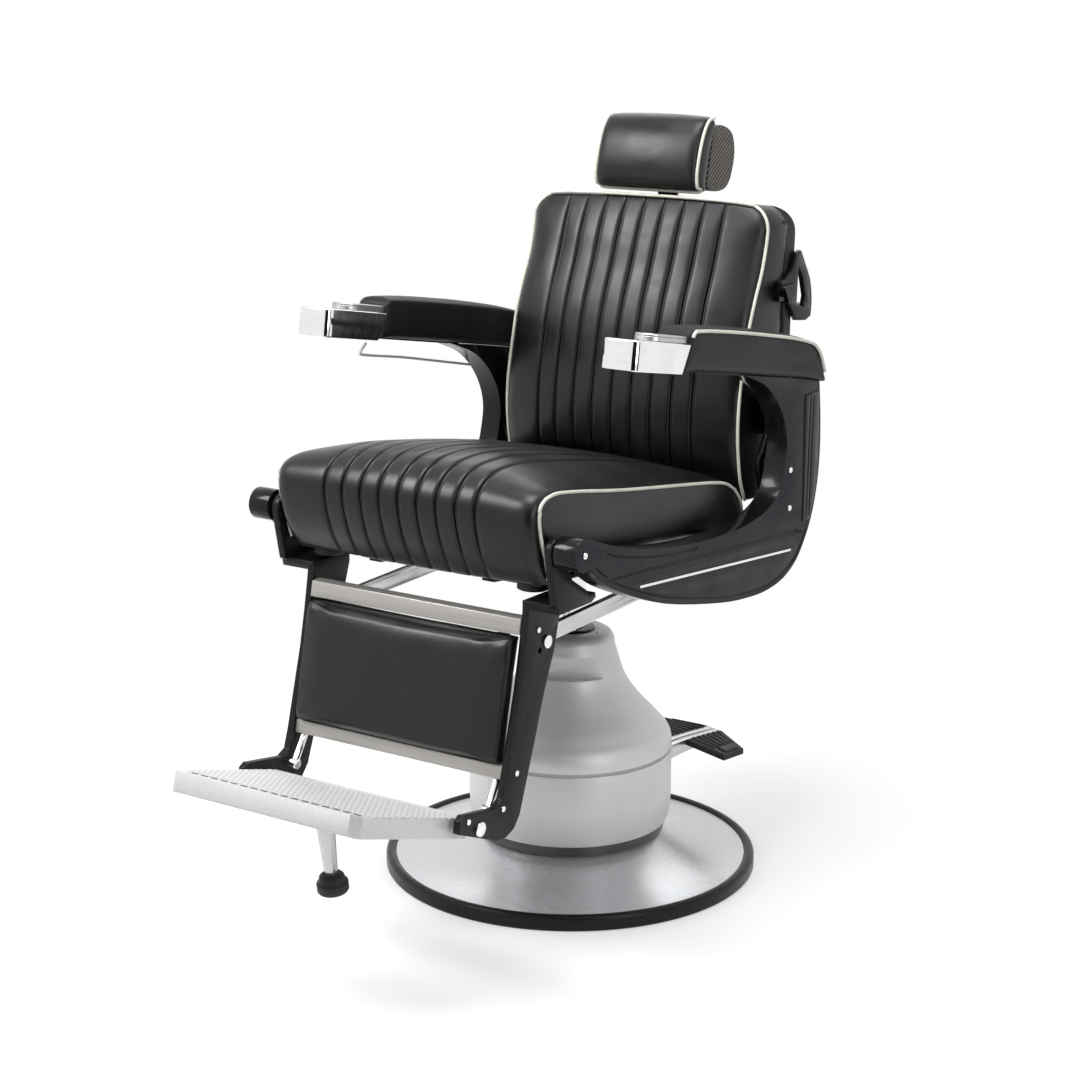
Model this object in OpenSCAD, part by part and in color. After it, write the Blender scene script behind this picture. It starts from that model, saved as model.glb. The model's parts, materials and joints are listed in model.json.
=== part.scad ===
// Hydraulic barber chair: round floor base with a bell-shaped pump housing, a lift and
// swivel column, cast side frames, fluted seat and back, headrest, legrest and footplate.
// The origin is on the floor under the column. The sitter faces -Y, and +X is the sitter's left.

/* [Base] */
// Outer radius of the rubber ring on the floor
base_r = 315; // [262:1:380]
// Width of the rubber ring
ring_w = 17; // [12:1:24]
// Height of the rubber ring
ring_h = 27; // [22:1:32]
// Thickness of the cast base plate
plate_h = 16; // [12:1:16]
// Height of the dished cover where it meets the drum
dish_h = 66; // [56:1:68]
// Thickness of the pressed dish
dish_t = 3; // [2:0.5:5]
// Radius of the drum
drum_r = 172; // [150:1:208]
// Height of the drum's lower edge
drum_z = 84; // [80:1:90]
// Height of the drum's upper edge
drum_top = 207; // [200:1:216]
// Wall of the drum and bell covers
cover_t = 4; // [3:0.5:6]
// Height of the top of the bell cover
bell_top = 413; // [400:1:440]
// Radius of the bell cover's neck
bell_neck = 73; // [66:1:80]

/* [Lift column] */
// Radius of the chromed ram
ram_r = 25; // [20:0.5:30]
// Wall of the hydraulic cylinder
cylinder_t = 9; // [6:0.5:12]
// Bore radius of the hydraulic cylinder
cylinder_r = 36; // [34:0.5:40]
// Distance the chair can sink from its raised rest height
lift_down = 135; // [100:1:135]
// Gap left between hub and bell cover when the chair is fully down
lift_gap = 4; // [3:0.5:12]
// Radius of the swivel hub
hub_r = 58; // [50:1:62]
// Thickness of the swivel hub's flange
flange_t = 14; // [12:1:16]

/* [Pedals] */
// Angle of the pedals' line from straight back, towards the sitter's left
pedal_turn = 18; // [0:1:24]
// Distance of the pedal pivot from the column axis
pedal_pivot = 112; // [108:1:120]
// Height of the pedal pivot
pedal_z = 138; // [130:1:150]
// Reach of the pedal levers from the column axis
pedal_reach = 334; // [310:1:360]
// Radius of the pedal pivot shaft
pedal_shaft_r = 8; // [6:0.5:10]
// Width of each pedal lever
pedal_w = 12; // [10:0.5:14]
// Thickness of the rubber pedal pads
pedal_pad_t = 14; // [10:1:18]

/* [Seat] */
// Half the width of the seat cushion between its two piped edges
seat_half = 240; // [200:1:260]
// How far the cushion sides swell past the piping
side_swell = 4; // [0:0.5:6]
// Height that the middle of the seat is crowned
seat_crown = 16; // [8:1:24]
// Thickness of the board under the seat cushion
pan_t = 8; // [6:1:12]
// Space between the seat cushion's piping and a side frame
frame_gap = 27; // [24:1:36]
// Thickness of a cast side frame
frame_t = 38; // [34:1:46]
// Number of flutes sewn in seat and back
flutes = 8; // [6:2:8]
// Width of one seat flute
seat_pitch = 35; // [28:1:36]
// Depth of the sewn channels
channel = 5; // [3:0.5:7]

/* [Back] */
// How far each side of the back cushion stands inside the seat's piping
back_inset = 12; // [8:1:24]
// Crown of the back cushion
back_crown = 26; // [16:1:34]
// Width of one back flute
back_pitch = 38; // [30:1:38]
// Radius of the back's pivot pins
back_pin_r = 9; // [7:0.5:11]
// Thickness of the back's hinge levers
lever_t = 9; // [7:0.5:10]
// Thickness of the board behind the back cushion
board_t = 12; // [9:1:14]
// Wall of the covered shell behind the back
shell_t = 4; // [3:0.5:5]

/* [Arms] */
// Width of an arm
arm_w = 64; // [56:1:76]
// Height of the chromed arm tip
tip_h = 46; // [40:1:50]
// Length of the chromed arm tip along its lower edge
tip_l = 136; // [110:1:150]
// Downward slope of the arms towards the back
arm_slope = 9.8; // [8:0.1:11]

/* [Headrest] */
// Width of the headrest post
post_w = 40; // [30:1:50]
// Thickness of the headrest post
post_t = 8; // [6:0.5:10]
// Half the width of the headrest
head_half = 97; // [85:1:115]

/* [Legrest] */
// How far a legrest bracket's inner face stands inside the seat's piping
leg_inset = 43; // [38:1:56]
// Thickness of a legrest bracket
bracket_t = 12; // [9:0.5:14]
// Radius of the legrest's pivot pins and link pins
leg_pin_r = 8; // [6:0.5:10]
// Thickness of the link bars
link_t = 10; // [7:0.5:11]
// Height of the link bars
link_h = 24; // [20:1:26]
// How far the legrest pad stands in front of its rails
pad_proud = 15; // [8:1:20]

/* [Footplate] */
// Space between the footplate and a legrest bracket
plate_gap = 11; // [8:1:20]
// Length of the footplate from its hinge
plate_l = 247; // [200:1:280]
// Thickness of the footplate's rim
plate_t = 32; // [28:1:36]
// Upward slope of the footplate towards its front
plate_slope = 17; // [12:1:20]
// Pitch of the tread ridges
tread = 9; // [7:0.5:12]
// Length of the prop leg under the footplate
prop_l = 96; // [80:1:100]
// Distance from one slot at the footplate's front edge to the next
slot_pitch = 13; // [11:0.5:15]

/* [Fits] */
// Radial clearance of pins and shafts that turn or slide
run = 0.05; // [0.02:0.01:0.08]
// Clearance between pieces that only stand beside each other
gap = 0.3; // [0.2:0.05:0.6]

/* [Hidden] */
// Heights of the chair body are drawn with its hub face at this height.
hub_z = 552;
chair_z = bell_top + lift_gap + lift_down - hub_z;
slope_angle = 3.56;
frame_in = seat_half + frame_gap;
frame_out = frame_in + frame_t;
frame_mid = (frame_in + frame_out) / 2;
back_half = seat_half - back_inset;
board_half = back_half + side_swell;
leg_half = seat_half - leg_inset;
plate_half = leg_half - plate_gap;

// Base
dish_out = base_r - ring_w - gap;
dish_in = drum_r - 24;
boss_h = dish_h - 8;
bolt_at = 91;
bolt_r = 5;
rim = 12;
bell_z = drum_top + 6;
cylinder_out = cylinder_r + cylinder_t;
cylinder_top = bell_top - 12;
ram_low = lift_down + 57;
spigot_r = ram_r - 5;
plunger_y = 78;
plunger_r = 6;
pad_z = pedal_z + 18;

// Pivots in Y and Z: the seat's two, the links' two, the footplate's, the headrest's, the wire lever's
leg_pivot = [-430, 672];
back_pivot = [200, 690];
link_drop = [45, -154];
link_front = leg_pivot + link_drop;
link_rear = back_pivot + link_drop;
plate_hinge = [-560, 278];
head_pivot = [280, 1140];
lever_pivot = [170, 806];
knob_at = [266, 968];

// Widths outward from the cushion: the legrest's necks, then the back's levers
neck_x = seat_half + side_swell + 5;
neck_out = neck_x + bracket_t;
lever_in = seat_half + side_swell + 2;
lever_out = lever_in + lever_t;
link_in = leg_half - 4 - link_t;
bracket_out = leg_half + bracket_t;
handle_t = 9;

// Arms
arm_origin = [-310, 968];
pad_low = 4 - tip_h;
pad_back = 616;
tip_lean = 16 / (tip_h - 4);
beam_l = 250;
beam_h = 16;
beam_w = 24;
tongue = 86;
wire_r = 2.5;
wire_x = frame_out + wire_r + 4;

// Back, headrest, legrest and footplate
post_y = 303;
shell_out = 329;
lever_foot = [730, 798];
leg_pad_half = leg_half - 5;
plate_top = 13;
plate_low = plate_top - plate_t;
skin = 7;
rib_at = [-plate_l * 0.43 - 14, -plate_l * 0.7 - 14];
prop_at = rib_at[0] + 23;
ridges = floor((plate_l - 16) / tread);

// A smooth open curve through points, with n steps to each span.
function knot(a, b, c, d, t) = 0.5 * ((2 * b) + (c - a) * t + (2 * a - 5 * b + 4 * c - d) * t * t
    + (3 * b - a - 3 * c + d) * t * t * t);
function curve(p, n) = [
    for (i = [0:len(p) - 2])
        for (k = [0:n - 1])
            knot(p[max(i - 1, 0)], p[i], p[i + 1], p[min(i + 2, len(p) - 1)], k / n),
    p[len(p) - 1]
];
function arc(c, r, a0, a1, n) = [
    for (k = [0:n])
        let (a = a0 + (a1 - a0) * k / n)
            c + r * [cos(a), sin(a)]
];
function mid(p) = [for (k = [0, 1]) sum([for (q = p) q[k]]) / len(p)];
function sum(v, i = 0) = i >= len(v) ? 0 : v[i] + sum(v, i + 1);
function tip_back(z) = tip_l + tip_lean * (z - pad_low);

// Extrudes an outline drawn in Y and Z from x0 to x1.
module across(x0, x1, outline) {
    translate([x0, 0, 0]) rotate([90, 0, 90]) linear_extrude(x1 - x0) polygon(outline);
}
module rod_x(x0, x1, at, r) {
    translate([x0, at[0], at[1]]) rotate([0, 90, 0]) cylinder(h = x1 - x0, r = r, $fn = 64);
}
module both_sides() {
    children();
    mirror([1, 0, 0]) children();
}
module chair() {
    translate([0, 0, chair_z]) children();
}
module on_side(left) {
    if (left) children();
    else mirror([1, 0, 0]) children();
}

// A cushion whose outline in Y and Z runs from the side one to the crowned one across its width.
// Sewn channels between flutes draw the marked stretch of the outline in.
function fade(u) = 1 - pow(abs(u), 2.6);
function groove(x, pitch, n) = n == 0 || abs(x) > pitch * n / 2 + pitch * 0.3 ? 0
    : pow(abs(cos(180 * (x / pitch + (n % 2) / 2))), 6);
function cushion_x(half, pitch, n) = n == 0
    ? [for (k = [-6:6]) half * sin(15 * k)]
    : concat([for (k = [4:-1:1]) -half * sin(90 * (0.62 + 0.095 * k))],
        [for (k = [-n * 2:n * 2]) k * pitch / 4],
        [for (k = [1:4]) half * sin(90 * (0.62 + 0.095 * k))]);
module cushion(side, crown, half, swell, pitch = 1, n = 0, depth = 0, sewn = [1, 0]) {
    xs = cushion_x(half, pitch, n);
    m = len(side);
    last = len(xs) - 1;
    rings = [for (i = [0:last])
        let (c = fade(xs[i] / half), g = groove(xs[i], pitch, n) * depth, o = mid(side))
        [for (j = [0:m - 1])
            let (p = side[j] + (crown[j] - side[j]) * c, d = j >= sewn[0] && j <= sewn[1] ? g : 0,
                q = p - (p - o) / norm(p - o) * d)
            [xs[i], q[0], q[1]]]];
    end = [for (s = [-1, 1]) [for (j = [0:m - 1])
        let (o = mid(side), q = o + (side[j] - o) * 0.9) [s * (half + swell), q[0], q[1]]]];
    caps = [for (s = [-1, 1]) [s * (half + swell), mid(side)[0], mid(side)[1]]];
    all = concat([caps[0]], end[0], [for (r = rings) for (p = r) p], end[1], [caps[1]]);
    bands = last + 2;
    faces = concat(
        [for (j = [0:m - 1]) [0, 1 + j, 1 + (j + 1) % m]],
        [for (i = [0:bands - 1]) for (j = [0:m - 1]) for (t = [0, 1])
            let (a = 1 + i * m + j, b = 1 + i * m + (j + 1) % m, c = a + m, d = b + m)
            t == 0 ? [a, d, b] : [a, c, d]],
        [for (j = [0:m - 1]) [len(all) - 1, 1 + bands * m + (j + 1) % m, 1 + bands * m + j]]);
    polyhedron(all, [for (f = faces) [f[0], f[2], f[1]]], convexity = 4);
}

// ---- Base ----
module base_ring() {
    round_r = 8;
    color("#1e1b1a") rotate_extrude($fn = 128) polygon(concat(
        [[base_r - ring_w, 0], [base_r - 3, 0], [base_r, 3]],
        arc([base_r - round_r, ring_h - round_r], round_r, 0, 180 - 60, 8),
        [[base_r - ring_w, ring_h - 5]]));
}
module at_bolts() {
    for (a = [45:90:315])
        rotate([0, 0, a]) translate([bolt_at, 0, 0]) children();
}
module base_plate() {
    color("#4a4c4e") difference() {
        union() {
            cylinder(h = plate_h, r = base_r - ring_w, $fn = 128);
            cylinder(h = boss_h, r = 105, $fn = 96);
        }
        translate([0, 0, plate_h + 4]) cylinder(h = dish_h, r = cylinder_out + run, $fn = 96);
        at_bolts() translate([0, 0, plate_h + 8]) cylinder(h = dish_h, r = bolt_r + run, $fn = 32);
    }
}
function dish_line(d) = [
    for (k = [0:14])
        let (u = k / 14, rise = dish_h - ring_h + 5)
            [dish_out + (dish_in - dish_out) * u, ring_h - 5 - d + rise * (0.35 * u + 0.65 * u * u)]
];
module base_disc() {
    turned = dish_line(dish_t);
    color("#b9bcbf") rotate_extrude($fn = 128) polygon(concat(
        [for (p = dish_line(0)) p], [[dish_in, dish_h - dish_t]],
        [for (k = [len(turned) - 1:-1:0]) turned[k]], [[dish_out, plate_h + gap]],
        [[dish_out + 0.001, plate_h + gap]]));
}
module gap_ring() {
    wall = drum_r - rim - gap;
    under = dish_h - dish_t - 1.6;
    color("#17181a") rotate_extrude($fn = 96) polygon([
        [102, boss_h], [dish_in - 2, boss_h], [dish_in + 2, under], [dish_in - gap, under],
        [dish_in - gap, dish_h + gap], [wall, dish_h + gap], [wall, drum_z + 14], [wall - 7, drum_z + 14],
        [wall - 7, dish_h + 6], [102, dish_h + 6]]);
}
function lever_x(s) = s * (pedal_w / 2 + 3) - pedal_w / 2;
module drum_shell() {
    difference() {
        rotate_extrude($fn = 128) polygon([
            [drum_r - rim, drum_z], [drum_r - 7, drum_z], [drum_r - 4, drum_z + 6], [drum_r, drum_z + 41],
            [drum_r, drum_top], [drum_r - cover_t, drum_top], [drum_r - cover_t, drum_z + 42],
            [drum_r - cover_t - 4, drum_z + 8], [drum_r - rim, drum_z + 8]]);
        rotate([0, 0, -pedal_turn]) for (s = [-1, 1])
            translate([lever_x(s) - 2, 100, pedal_z - 38]) cube([pedal_w + 4, drum_r, 72]);
    }
}
module half_space(front) {
    reach = 2 * drum_r;
    rotate([0, 0, -pedal_turn]) translate([front ? -reach : gap / 2, -reach, 0])
        cube([reach - gap / 2, 2 * reach, bell_top]);
}
module drum_cover_right() {
    color("#a9abad") intersection() {
        drum_shell();
        half_space(true);
    }
}
module drum_cover_left() {
    color("#a9abad") intersection() {
        drum_shell();
        half_space(false);
    }
}
module seam_ring() {
    wall = drum_r - cover_t;
    color("#8e9194") rotate_extrude($fn = 128) polygon([
        [wall - 3, drum_top - 10], [wall - gap, drum_top - 10], [wall - gap, drum_top + gap],
        [drum_r - 1.5, drum_top + gap], [drum_r - 1.5, bell_z], [wall - 3, bell_z]]);
}
function bell_line(d) = concat(
    [[drum_r - d, bell_z], [drum_r - d, bell_z + 4]],
    arc([drum_r - 42, bell_z + 6], 42 - d, 6, 50, 6),
    curve([[drum_r - 26, bell_z + 51], [drum_r - 54, bell_z + 81], [drum_r - 78, bell_z + 116],
        [bell_neck + 9, bell_z + 150], [bell_neck + 2.5, bell_top - 28], [bell_neck, bell_top - 13]]
        - [for (k = [0:5]) [d, 0]], 4),
    [[bell_neck - 5 - d, bell_top - 5], [bell_neck - 14 - d, bell_top - d]]);
module bell_cover() {
    outer = bell_line(0);
    inner = bell_line(cover_t);
    flat = bell_neck - 8;
    color("#aeb0b2") difference() {
        union() {
            rotate_extrude($fn = 128) polygon(concat(
                outer, [[ram_r + 12, bell_top], [ram_r + 12, bell_top - cover_t]],
                [for (k = [len(inner) - 1:-1:0]) inner[k]]));
            rotate([0, 0, 30]) intersection() {
                translate([-60, -bell_neck - 40, bell_top - 72]) cube([120, 44 + bell_neck - flat, 44]);
                rotate_extrude($fn = 128) polygon(concat(
                    [[0, bell_z]], [for (p = outer) p - [1, 0]], [[0, bell_top - 1]]));
            }
        }
        rotate([0, 0, 30]) translate([-60, -flat - 60, bell_top - 68]) cube([120, 60, 36]);
        translate([53, -2, bell_top - 10]) cylinder(h = 20, r = 3.5, $fn = 24);
    }
}
module bell_cap() {
    color("#2a2b2d") rotate_extrude($fn = 96) polygon([
        [ram_r + run, bell_top - 12], [ram_r + 12 - gap, bell_top - 12], [ram_r + 12 - gap, bell_top],
        [ram_r + 17, bell_top], [ram_r + 15, bell_top + 3], [ram_r + run, bell_top + 3]]);
}
module cylinder_tube() {
    color("#6d7073") rotate_extrude($fn = 96) polygon([
        [0, plate_h + 4], [cylinder_out, plate_h + 4], [cylinder_out, cylinder_top],
        [ram_r + run, cylinder_top], [ram_r + run, cylinder_top - 26], [cylinder_r, cylinder_top - 30],
        [cylinder_r, plate_h + 16], [0, plate_h + 16]]);
}
module pump_block() {
    inner = cylinder_out + run;
    color("#55585a") difference() {
        union() {
            rotate_extrude($fn = 96) polygon([
                [inner, boss_h], [100, boss_h], [100, boss_h + 8], [82, boss_h + 8], [82, 170], [70, 182],
                [inner, 182]]);
            rotate([0, 0, -pedal_turn]) translate([-44, 40, 96])
                cube([88, pedal_pivot - 24, pedal_z - 96 + 22]);
        }
        translate([0, 0, dish_h - 20]) cylinder(h = 150, r = inner, $fn = 96);
        at_bolts() translate([0, 0, boss_h - 1]) cylinder(h = 10, r = bolt_r + run, $fn = 32);
        rotate([0, 0, -pedal_turn]) {
            for (s = [-1, 1]) translate([lever_x(s) - 1, 62, 112]) cube([pedal_w + 2, 90, 90]);
            rod_x(-60, 60, [pedal_pivot, pedal_z], pedal_shaft_r + run);
            translate([pedal_w / 2 + 3, plunger_y, dish_h]) cylinder(h = 100, r = plunger_r + run, $fn = 48);
        }
    }
}
module pump_plunger() {
    low = dish_h + 2;
    color("#c4c6c8") rotate([0, 0, -pedal_turn]) translate([pedal_w / 2 + 3, plunger_y, low])
        cylinder(h = pedal_z - 14.6 - low, r = plunger_r, $fn = 48);
}
module pedal_shaft() {
    half = 44;
    color("#9a9da0") rotate([0, 0, -pedal_turn]) {
        rod_x(-half, half, [pedal_pivot, pedal_z], pedal_shaft_r);
        for (x = [-half - 4, half]) rod_x(x, x + 4, [pedal_pivot, pedal_z], pedal_shaft_r + 4);
    }
}
module base_bolts() {
    head_z = boss_h + 8;
    color("#8b8d90") at_bolts() {
        translate([0, 0, plate_h + 10]) cylinder(h = head_z - plate_h - 10, r = bolt_r, $fn = 32);
        translate([0, 0, head_z]) cylinder(h = 6, r = 8, $fn = 6);
    }
}

// ---- Pedals: drawn along +Y, then turned with the pedal line ----
module pedal_lever(s) {
    x0 = lever_x(s);
    reach = pedal_reach;
    top = curve([
        [70, pedal_z - 2], [pedal_pivot, pedal_z + 16], [pedal_pivot + 60, pedal_z + 20],
        [reach - 84, pedal_z + 28], [reach - 6, pad_z + pedal_pad_t - 3]], 6);
    low = curve([
        [reach - 6, pad_z - 6], [reach - 84, pedal_z + 6], [pedal_pivot + 60, pedal_z - 9],
        [pedal_pivot, pedal_z - 16], [70, pedal_z - 9]], 6);
    difference() {
        union() {
            across(x0, x0 + pedal_w, concat(top, low));
            rod_x(x0, x0 + pedal_w, [reach - 6, pad_z + 2.5], 8.5);
            translate([s > 0 ? x0 : x0 - 30, reach - 64, pad_z - 5]) cube([pedal_w + 30, 50, 5]);
        }
        rod_x(-80, 80, [pedal_pivot, pedal_z], pedal_shaft_r + run);
    }
}
module pedal_pad(s) {
    x0 = pedal_w + 3 + gap;
    r = pedal_reach;
    shape = [[x0, r - 84], [118, r - 88], [112, r - 36], [x0, r]];
    on_side(s > 0) difference() {
        translate([0, 0, pad_z]) linear_extrude(pedal_pad_t) polygon(shape);
        for (k = [0:5]) translate([x0 + 5, r - 80 + k * 12.5, pad_z + pedal_pad_t - 1.5])
            rotate([0, 0, -2 - 4 * k]) cube([60, 4, 5]);
    }
}
module pump_lever() {
    color("#c9ccce") rotate([0, 0, -pedal_turn]) pedal_lever(1);
}
module release_lever() {
    color("#c9ccce") rotate([0, 0, -pedal_turn]) pedal_lever(-1);
}
module pump_pad() {
    color("#24201f") rotate([0, 0, -pedal_turn]) pedal_pad(1);
}
module release_pad() {
    color("#24201f") rotate([0, 0, -pedal_turn]) pedal_pad(-1);
}

// ---- Ram ----
module ram() {
    color("#d9dbdd") {
        translate([0, 0, ram_low]) cylinder(h = chair_z + hub_z - ram_low, r = ram_r, $fn = 96);
        translate([0, 0, chair_z + hub_z]) cylinder(h = 26, r = spigot_r, $fn = 96);
    }
}
module ram_piston() {
    color("#8f9295") translate([0, 0, ram_low - 22]) cylinder(h = 22, r = cylinder_r - run, $fn = 96);
}

// ---- Seat structure ----
function seat_low(y) = 621 - tan(slope_angle) * (y + 435);
module swivel_hub() {
    color("#2b2d30") chair() difference() {
        union() {
            translate([0, 0, hub_z + gap]) cylinder(h = 22, r = hub_r, $fn = 96);
            translate([0, 0, hub_z + gap]) cylinder(h = flange_t, r = hub_r + 20, $fn = 96);
        }
        translate([0, 0, hub_z - 1]) cylinder(h = 40, r = spigot_r + run, $fn = 96);
    }
}
module seat_frame() {
    z0 = hub_z + gap + flange_t;
    top = 580;
    beam = [-150, 90];
    bar = 50;
    rail = [96, 118];
    function board_low(y) = seat_low(y) - pan_t - run;
    color("#2b2d30") chair() difference() {
        union() {
            translate([-140, beam[0], z0]) cube([280, beam[1] - beam[0], top - z0]);
            for (y = [beam[0], beam[1] - bar])
                translate([-frame_in, y, z0]) cube([2 * frame_in, bar, top - z0]);
            both_sides() {
                across(frame_in - 8, frame_in, [[-170, 560], [96, 552], [96, 608], [-170, 626]]);
                across(rail[0], rail[1], [
                    [-390, board_low(-390) - 14], [beam[0], z0 + 2], [beam[1], z0 + 2],
                    [beam[1], board_low(beam[1])], [-390, board_low(-390)]]);
            }
        }
        translate([0, 0, z0 - 5]) cylinder(h = 40, r = hub_r + gap, $fn = 96);
    }
}
module seat_pan() {
    ends = [-425, 140];
    color("#6b5a45") chair() across(-seat_half + 14, seat_half - 14, concat(
        [for (y = ends) [y, seat_low(y) - pan_t]], [for (k = [1, 0]) [ends[k], seat_low(ends[k]) - run]]));
}
seat_side = concat(
    curve([[-432, 621], [-453, 652], [-466, 692], [-469, 724], [-460, 744], [-440, 755], [-415, 758]], 2),
    curve([[-351, 749], [-240, 730], [-124, 713], [-32, 700], [48, 688], [92, 678]], 1),
    curve([[120, 662], [142, 636], [150, 606]], 2),
    [for (y = [148, 60, -60, -200, -330]) [y, seat_low(y)]]);
seat_up = [for (j = [0:len(seat_side) - 1])
    seat_side[j] + (j < 3 ? [0, 0] : j < 9 ? [-4, 3] : j < 20 ? [0, seat_crown] : [0, 0])];
module seat_cushion() {
    color("#1b1a1d") chair()
        cushion(seat_side, seat_up, seat_half, side_swell, seat_pitch, flutes, channel, [1, 19]);
}
module seat_bumpers() {
    y = -396;
    tall = 11;
    color("#161617") chair() both_sides()
        translate([leg_half - 4, y, seat_low(y) - pan_t]) rotate([-slope_angle, 0, 0]) {
            translate([0, 0, -tall]) cylinder(h = tall, r = 24, $fn = 48);
            translate([0, 0, -tall - 2]) cylinder(h = 2, r = 20, $fn = 48);
        }
}

// ---- Side frames ----
function pad_line(y) = arm_origin[1] + pad_low / cos(arm_slope) - (y - arm_origin[0]) * tan(arm_slope);
frame_low = curve([
    [-416, 651], [-388, 626], [-334, 597], [-204, 549], [-34, 511], [70, 498], [135, 498],
    [188, 509], [232, 536], [270, 588], [290, 645], [297, 705], [295, 765]], 4);
frame_open = curve([
    [30, pad_line(30)], [64, 855], [104, 838], [140, 810], [166, 775], [178, 739], [175, 705], [158, 658],
    [118, 634], [70, 624], [10, 620], [-80, 623], [-170, 632], [-250, 645], [-330, 663], [-385, 682],
    [-416, 693]], 4);
frame_nose = arc(leg_pivot, 25, 62, 297, 14);
module side_frame(left) {
    color("#3a3b44") chair() on_side(left) difference() {
        union() {
            across(frame_in, frame_out, concat(frame_low, [[288, pad_line(288)]], frame_open, frame_nose));
            translate([frame_mid - beam_w / 2, arm_origin[0], arm_origin[1]]) rotate([-arm_slope, 0, 0])
                across(0, beam_w, [
                    [tip_back(pad_low - 1), pad_low - 1], [tip_l + beam_l, pad_low - 1],
                    [tip_l + beam_l, pad_low + beam_h], [tip_back(pad_low + beam_h), pad_low + beam_h]]);
        }
        rod_x(frame_in - 1, frame_in + 22, leg_pivot, leg_pin_r + run);
        rod_x(frame_in - 1, frame_in + 22, back_pivot, back_pin_r + run);
        across(frame_out - 1.5, frame_out + 1, [[-373, 621], [236, 571], [236, 575], [-373, 625]]);
        across(frame_out - 2, frame_out + 1, inlay_line(0.2));
        across(frame_out - 2, frame_out + 1, trim_line(0.2));
    }
}
function inlay_line(d) = [[-278 - d, 590 - d], [200 + d, 547 - d], [200 + d, 551 + d], [-278 - d, 594 + d]];
function trim_line(d) = concat(
    [[240 - d, 590 - d]],
    curve([[262 + d, 590 - d], [279 + d, 632], [287 + d, 690], [288 + d, 745], [284 + d, 804 + d]], 3),
    [[238 - d, 804 + d]]);
module side_frame_left() {
    side_frame(true);
}
module side_frame_right() {
    side_frame(false);
}
module frame_trims() {
    color("#121214") chair() both_sides() difference() {
        across(frame_out - 1.9, frame_out + 1.5, trim_line(0));
        for (y = [248, 258])
            across(frame_out + 0.3, frame_out + 3, [[y, 596], [y + 3, 596], [y + 10, 798], [y + 6, 798]]);
    }
}
module chrome_inlays() {
    color("#d7d9da") chair() both_sides() across(frame_out - 1.9, frame_out + 0.8, inlay_line(0));
}
module frame_screws() {
    color("#c4c6c8") chair() both_sides() for (at = [[191, 686], [191, 622], leg_pivot])
        translate([frame_out, at[0], at[1]]) rotate([0, 90, 0]) {
            cylinder(h = 2, r = 5, $fn = 32);
            translate([0, 0, 2]) cylinder(h = 1, r1 = 5, r2 = 3.5, $fn = 32);
        }
}
module pivot_pins() {
    color("#c4c6c8") chair() both_sides() {
        rod_x(neck_x - 4, frame_in + 21, leg_pivot, leg_pin_r);
        rod_x(neck_x - 4, neck_x - gap, leg_pivot, leg_pin_r + 4);
        rod_x(neck_out + gap, frame_in, leg_pivot, leg_pin_r + 5);
        rod_x(lever_in - 4, frame_in + 21, back_pivot, back_pin_r);
        rod_x(lever_in - 4, lever_in - gap, back_pivot, back_pin_r + 4);
        rod_x(lever_out + gap, frame_in, back_pivot, back_pin_r + 6);
    }
}

// ---- Arms: drawn level from the tip's front top edge, then sloped ----
module arm() {
    chair() translate([frame_mid, arm_origin[0], arm_origin[1]]) rotate([-arm_slope, 0, 0]) children();
}
tip_side = concat(arc([6, -6], 6, 180, 90, 5), [[tip_back(0), 0], [tip_l, pad_low]], [[tip_l - 2, -tip_h]],
    arc([7, 6 - tip_h], 6, 270, 190, 5));
module arm_tip(left) {
    color("#e6e8e9") on_side(left) arm() intersection() {
        across(-arm_w / 2, arm_w / 2, [for (k = [len(tip_side) - 1:-1:0]) tip_side[k]]);
        translate([0, 0, -80]) linear_extrude(160) offset(r = 7, $fn = 32) offset(delta = -7)
            translate([-arm_w / 2, 0]) square([arm_w, 400]);
    }
}
pad_side = concat(
    [for (z = [pad_low + gap, -20, 0]) [tip_back(z) + gap, z]],
    [[tip_back(0) + 2, 14], [tip_back(0) + 11, 21]],
    curve([[210, 24], [290, 26], [380, 26], [470, 25], [530, 22]], 2),
    curve([[560, 17], [583, 3], [600, -18], [pad_back, pad_low]], 2),
    [for (y = [520, 400, 280, 200]) [y, pad_low + gap]]);
pad_up = [for (j = [0:len(pad_side) - 1])
    pad_side[j] + (j < 3 ? [0, 0] : j < 5 ? [-1, 5] : j < 14 ? [0, 10] : j < 17 ? [2, 5] : [0, 0])];
module arm_pad(left) {
    color("#1b1a1d") on_side(left) difference() {
        union() {
            arm() cushion(pad_side, pad_up, arm_w / 2 - 2, 2);
            arm() translate([0, tongue, gap]) linear_extrude(18) polygon(concat(
                arc([0, 0], 24, 180, 360, 12), [[24, 90], [-24, 90]]));
        }
        arm() translate([-beam_w / 2 - gap, tip_l - 10, pad_low - 20])
            cube([beam_w + 2 * gap, beam_l + 10 + gap, 20 + beam_h + gap]);
    }
}
module arm_tip_left() {
    arm_tip(true);
}
module arm_tip_right() {
    arm_tip(false);
}
module arm_pad_left() {
    arm_pad(true);
}
module arm_pad_right() {
    arm_pad(false);
}

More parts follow.
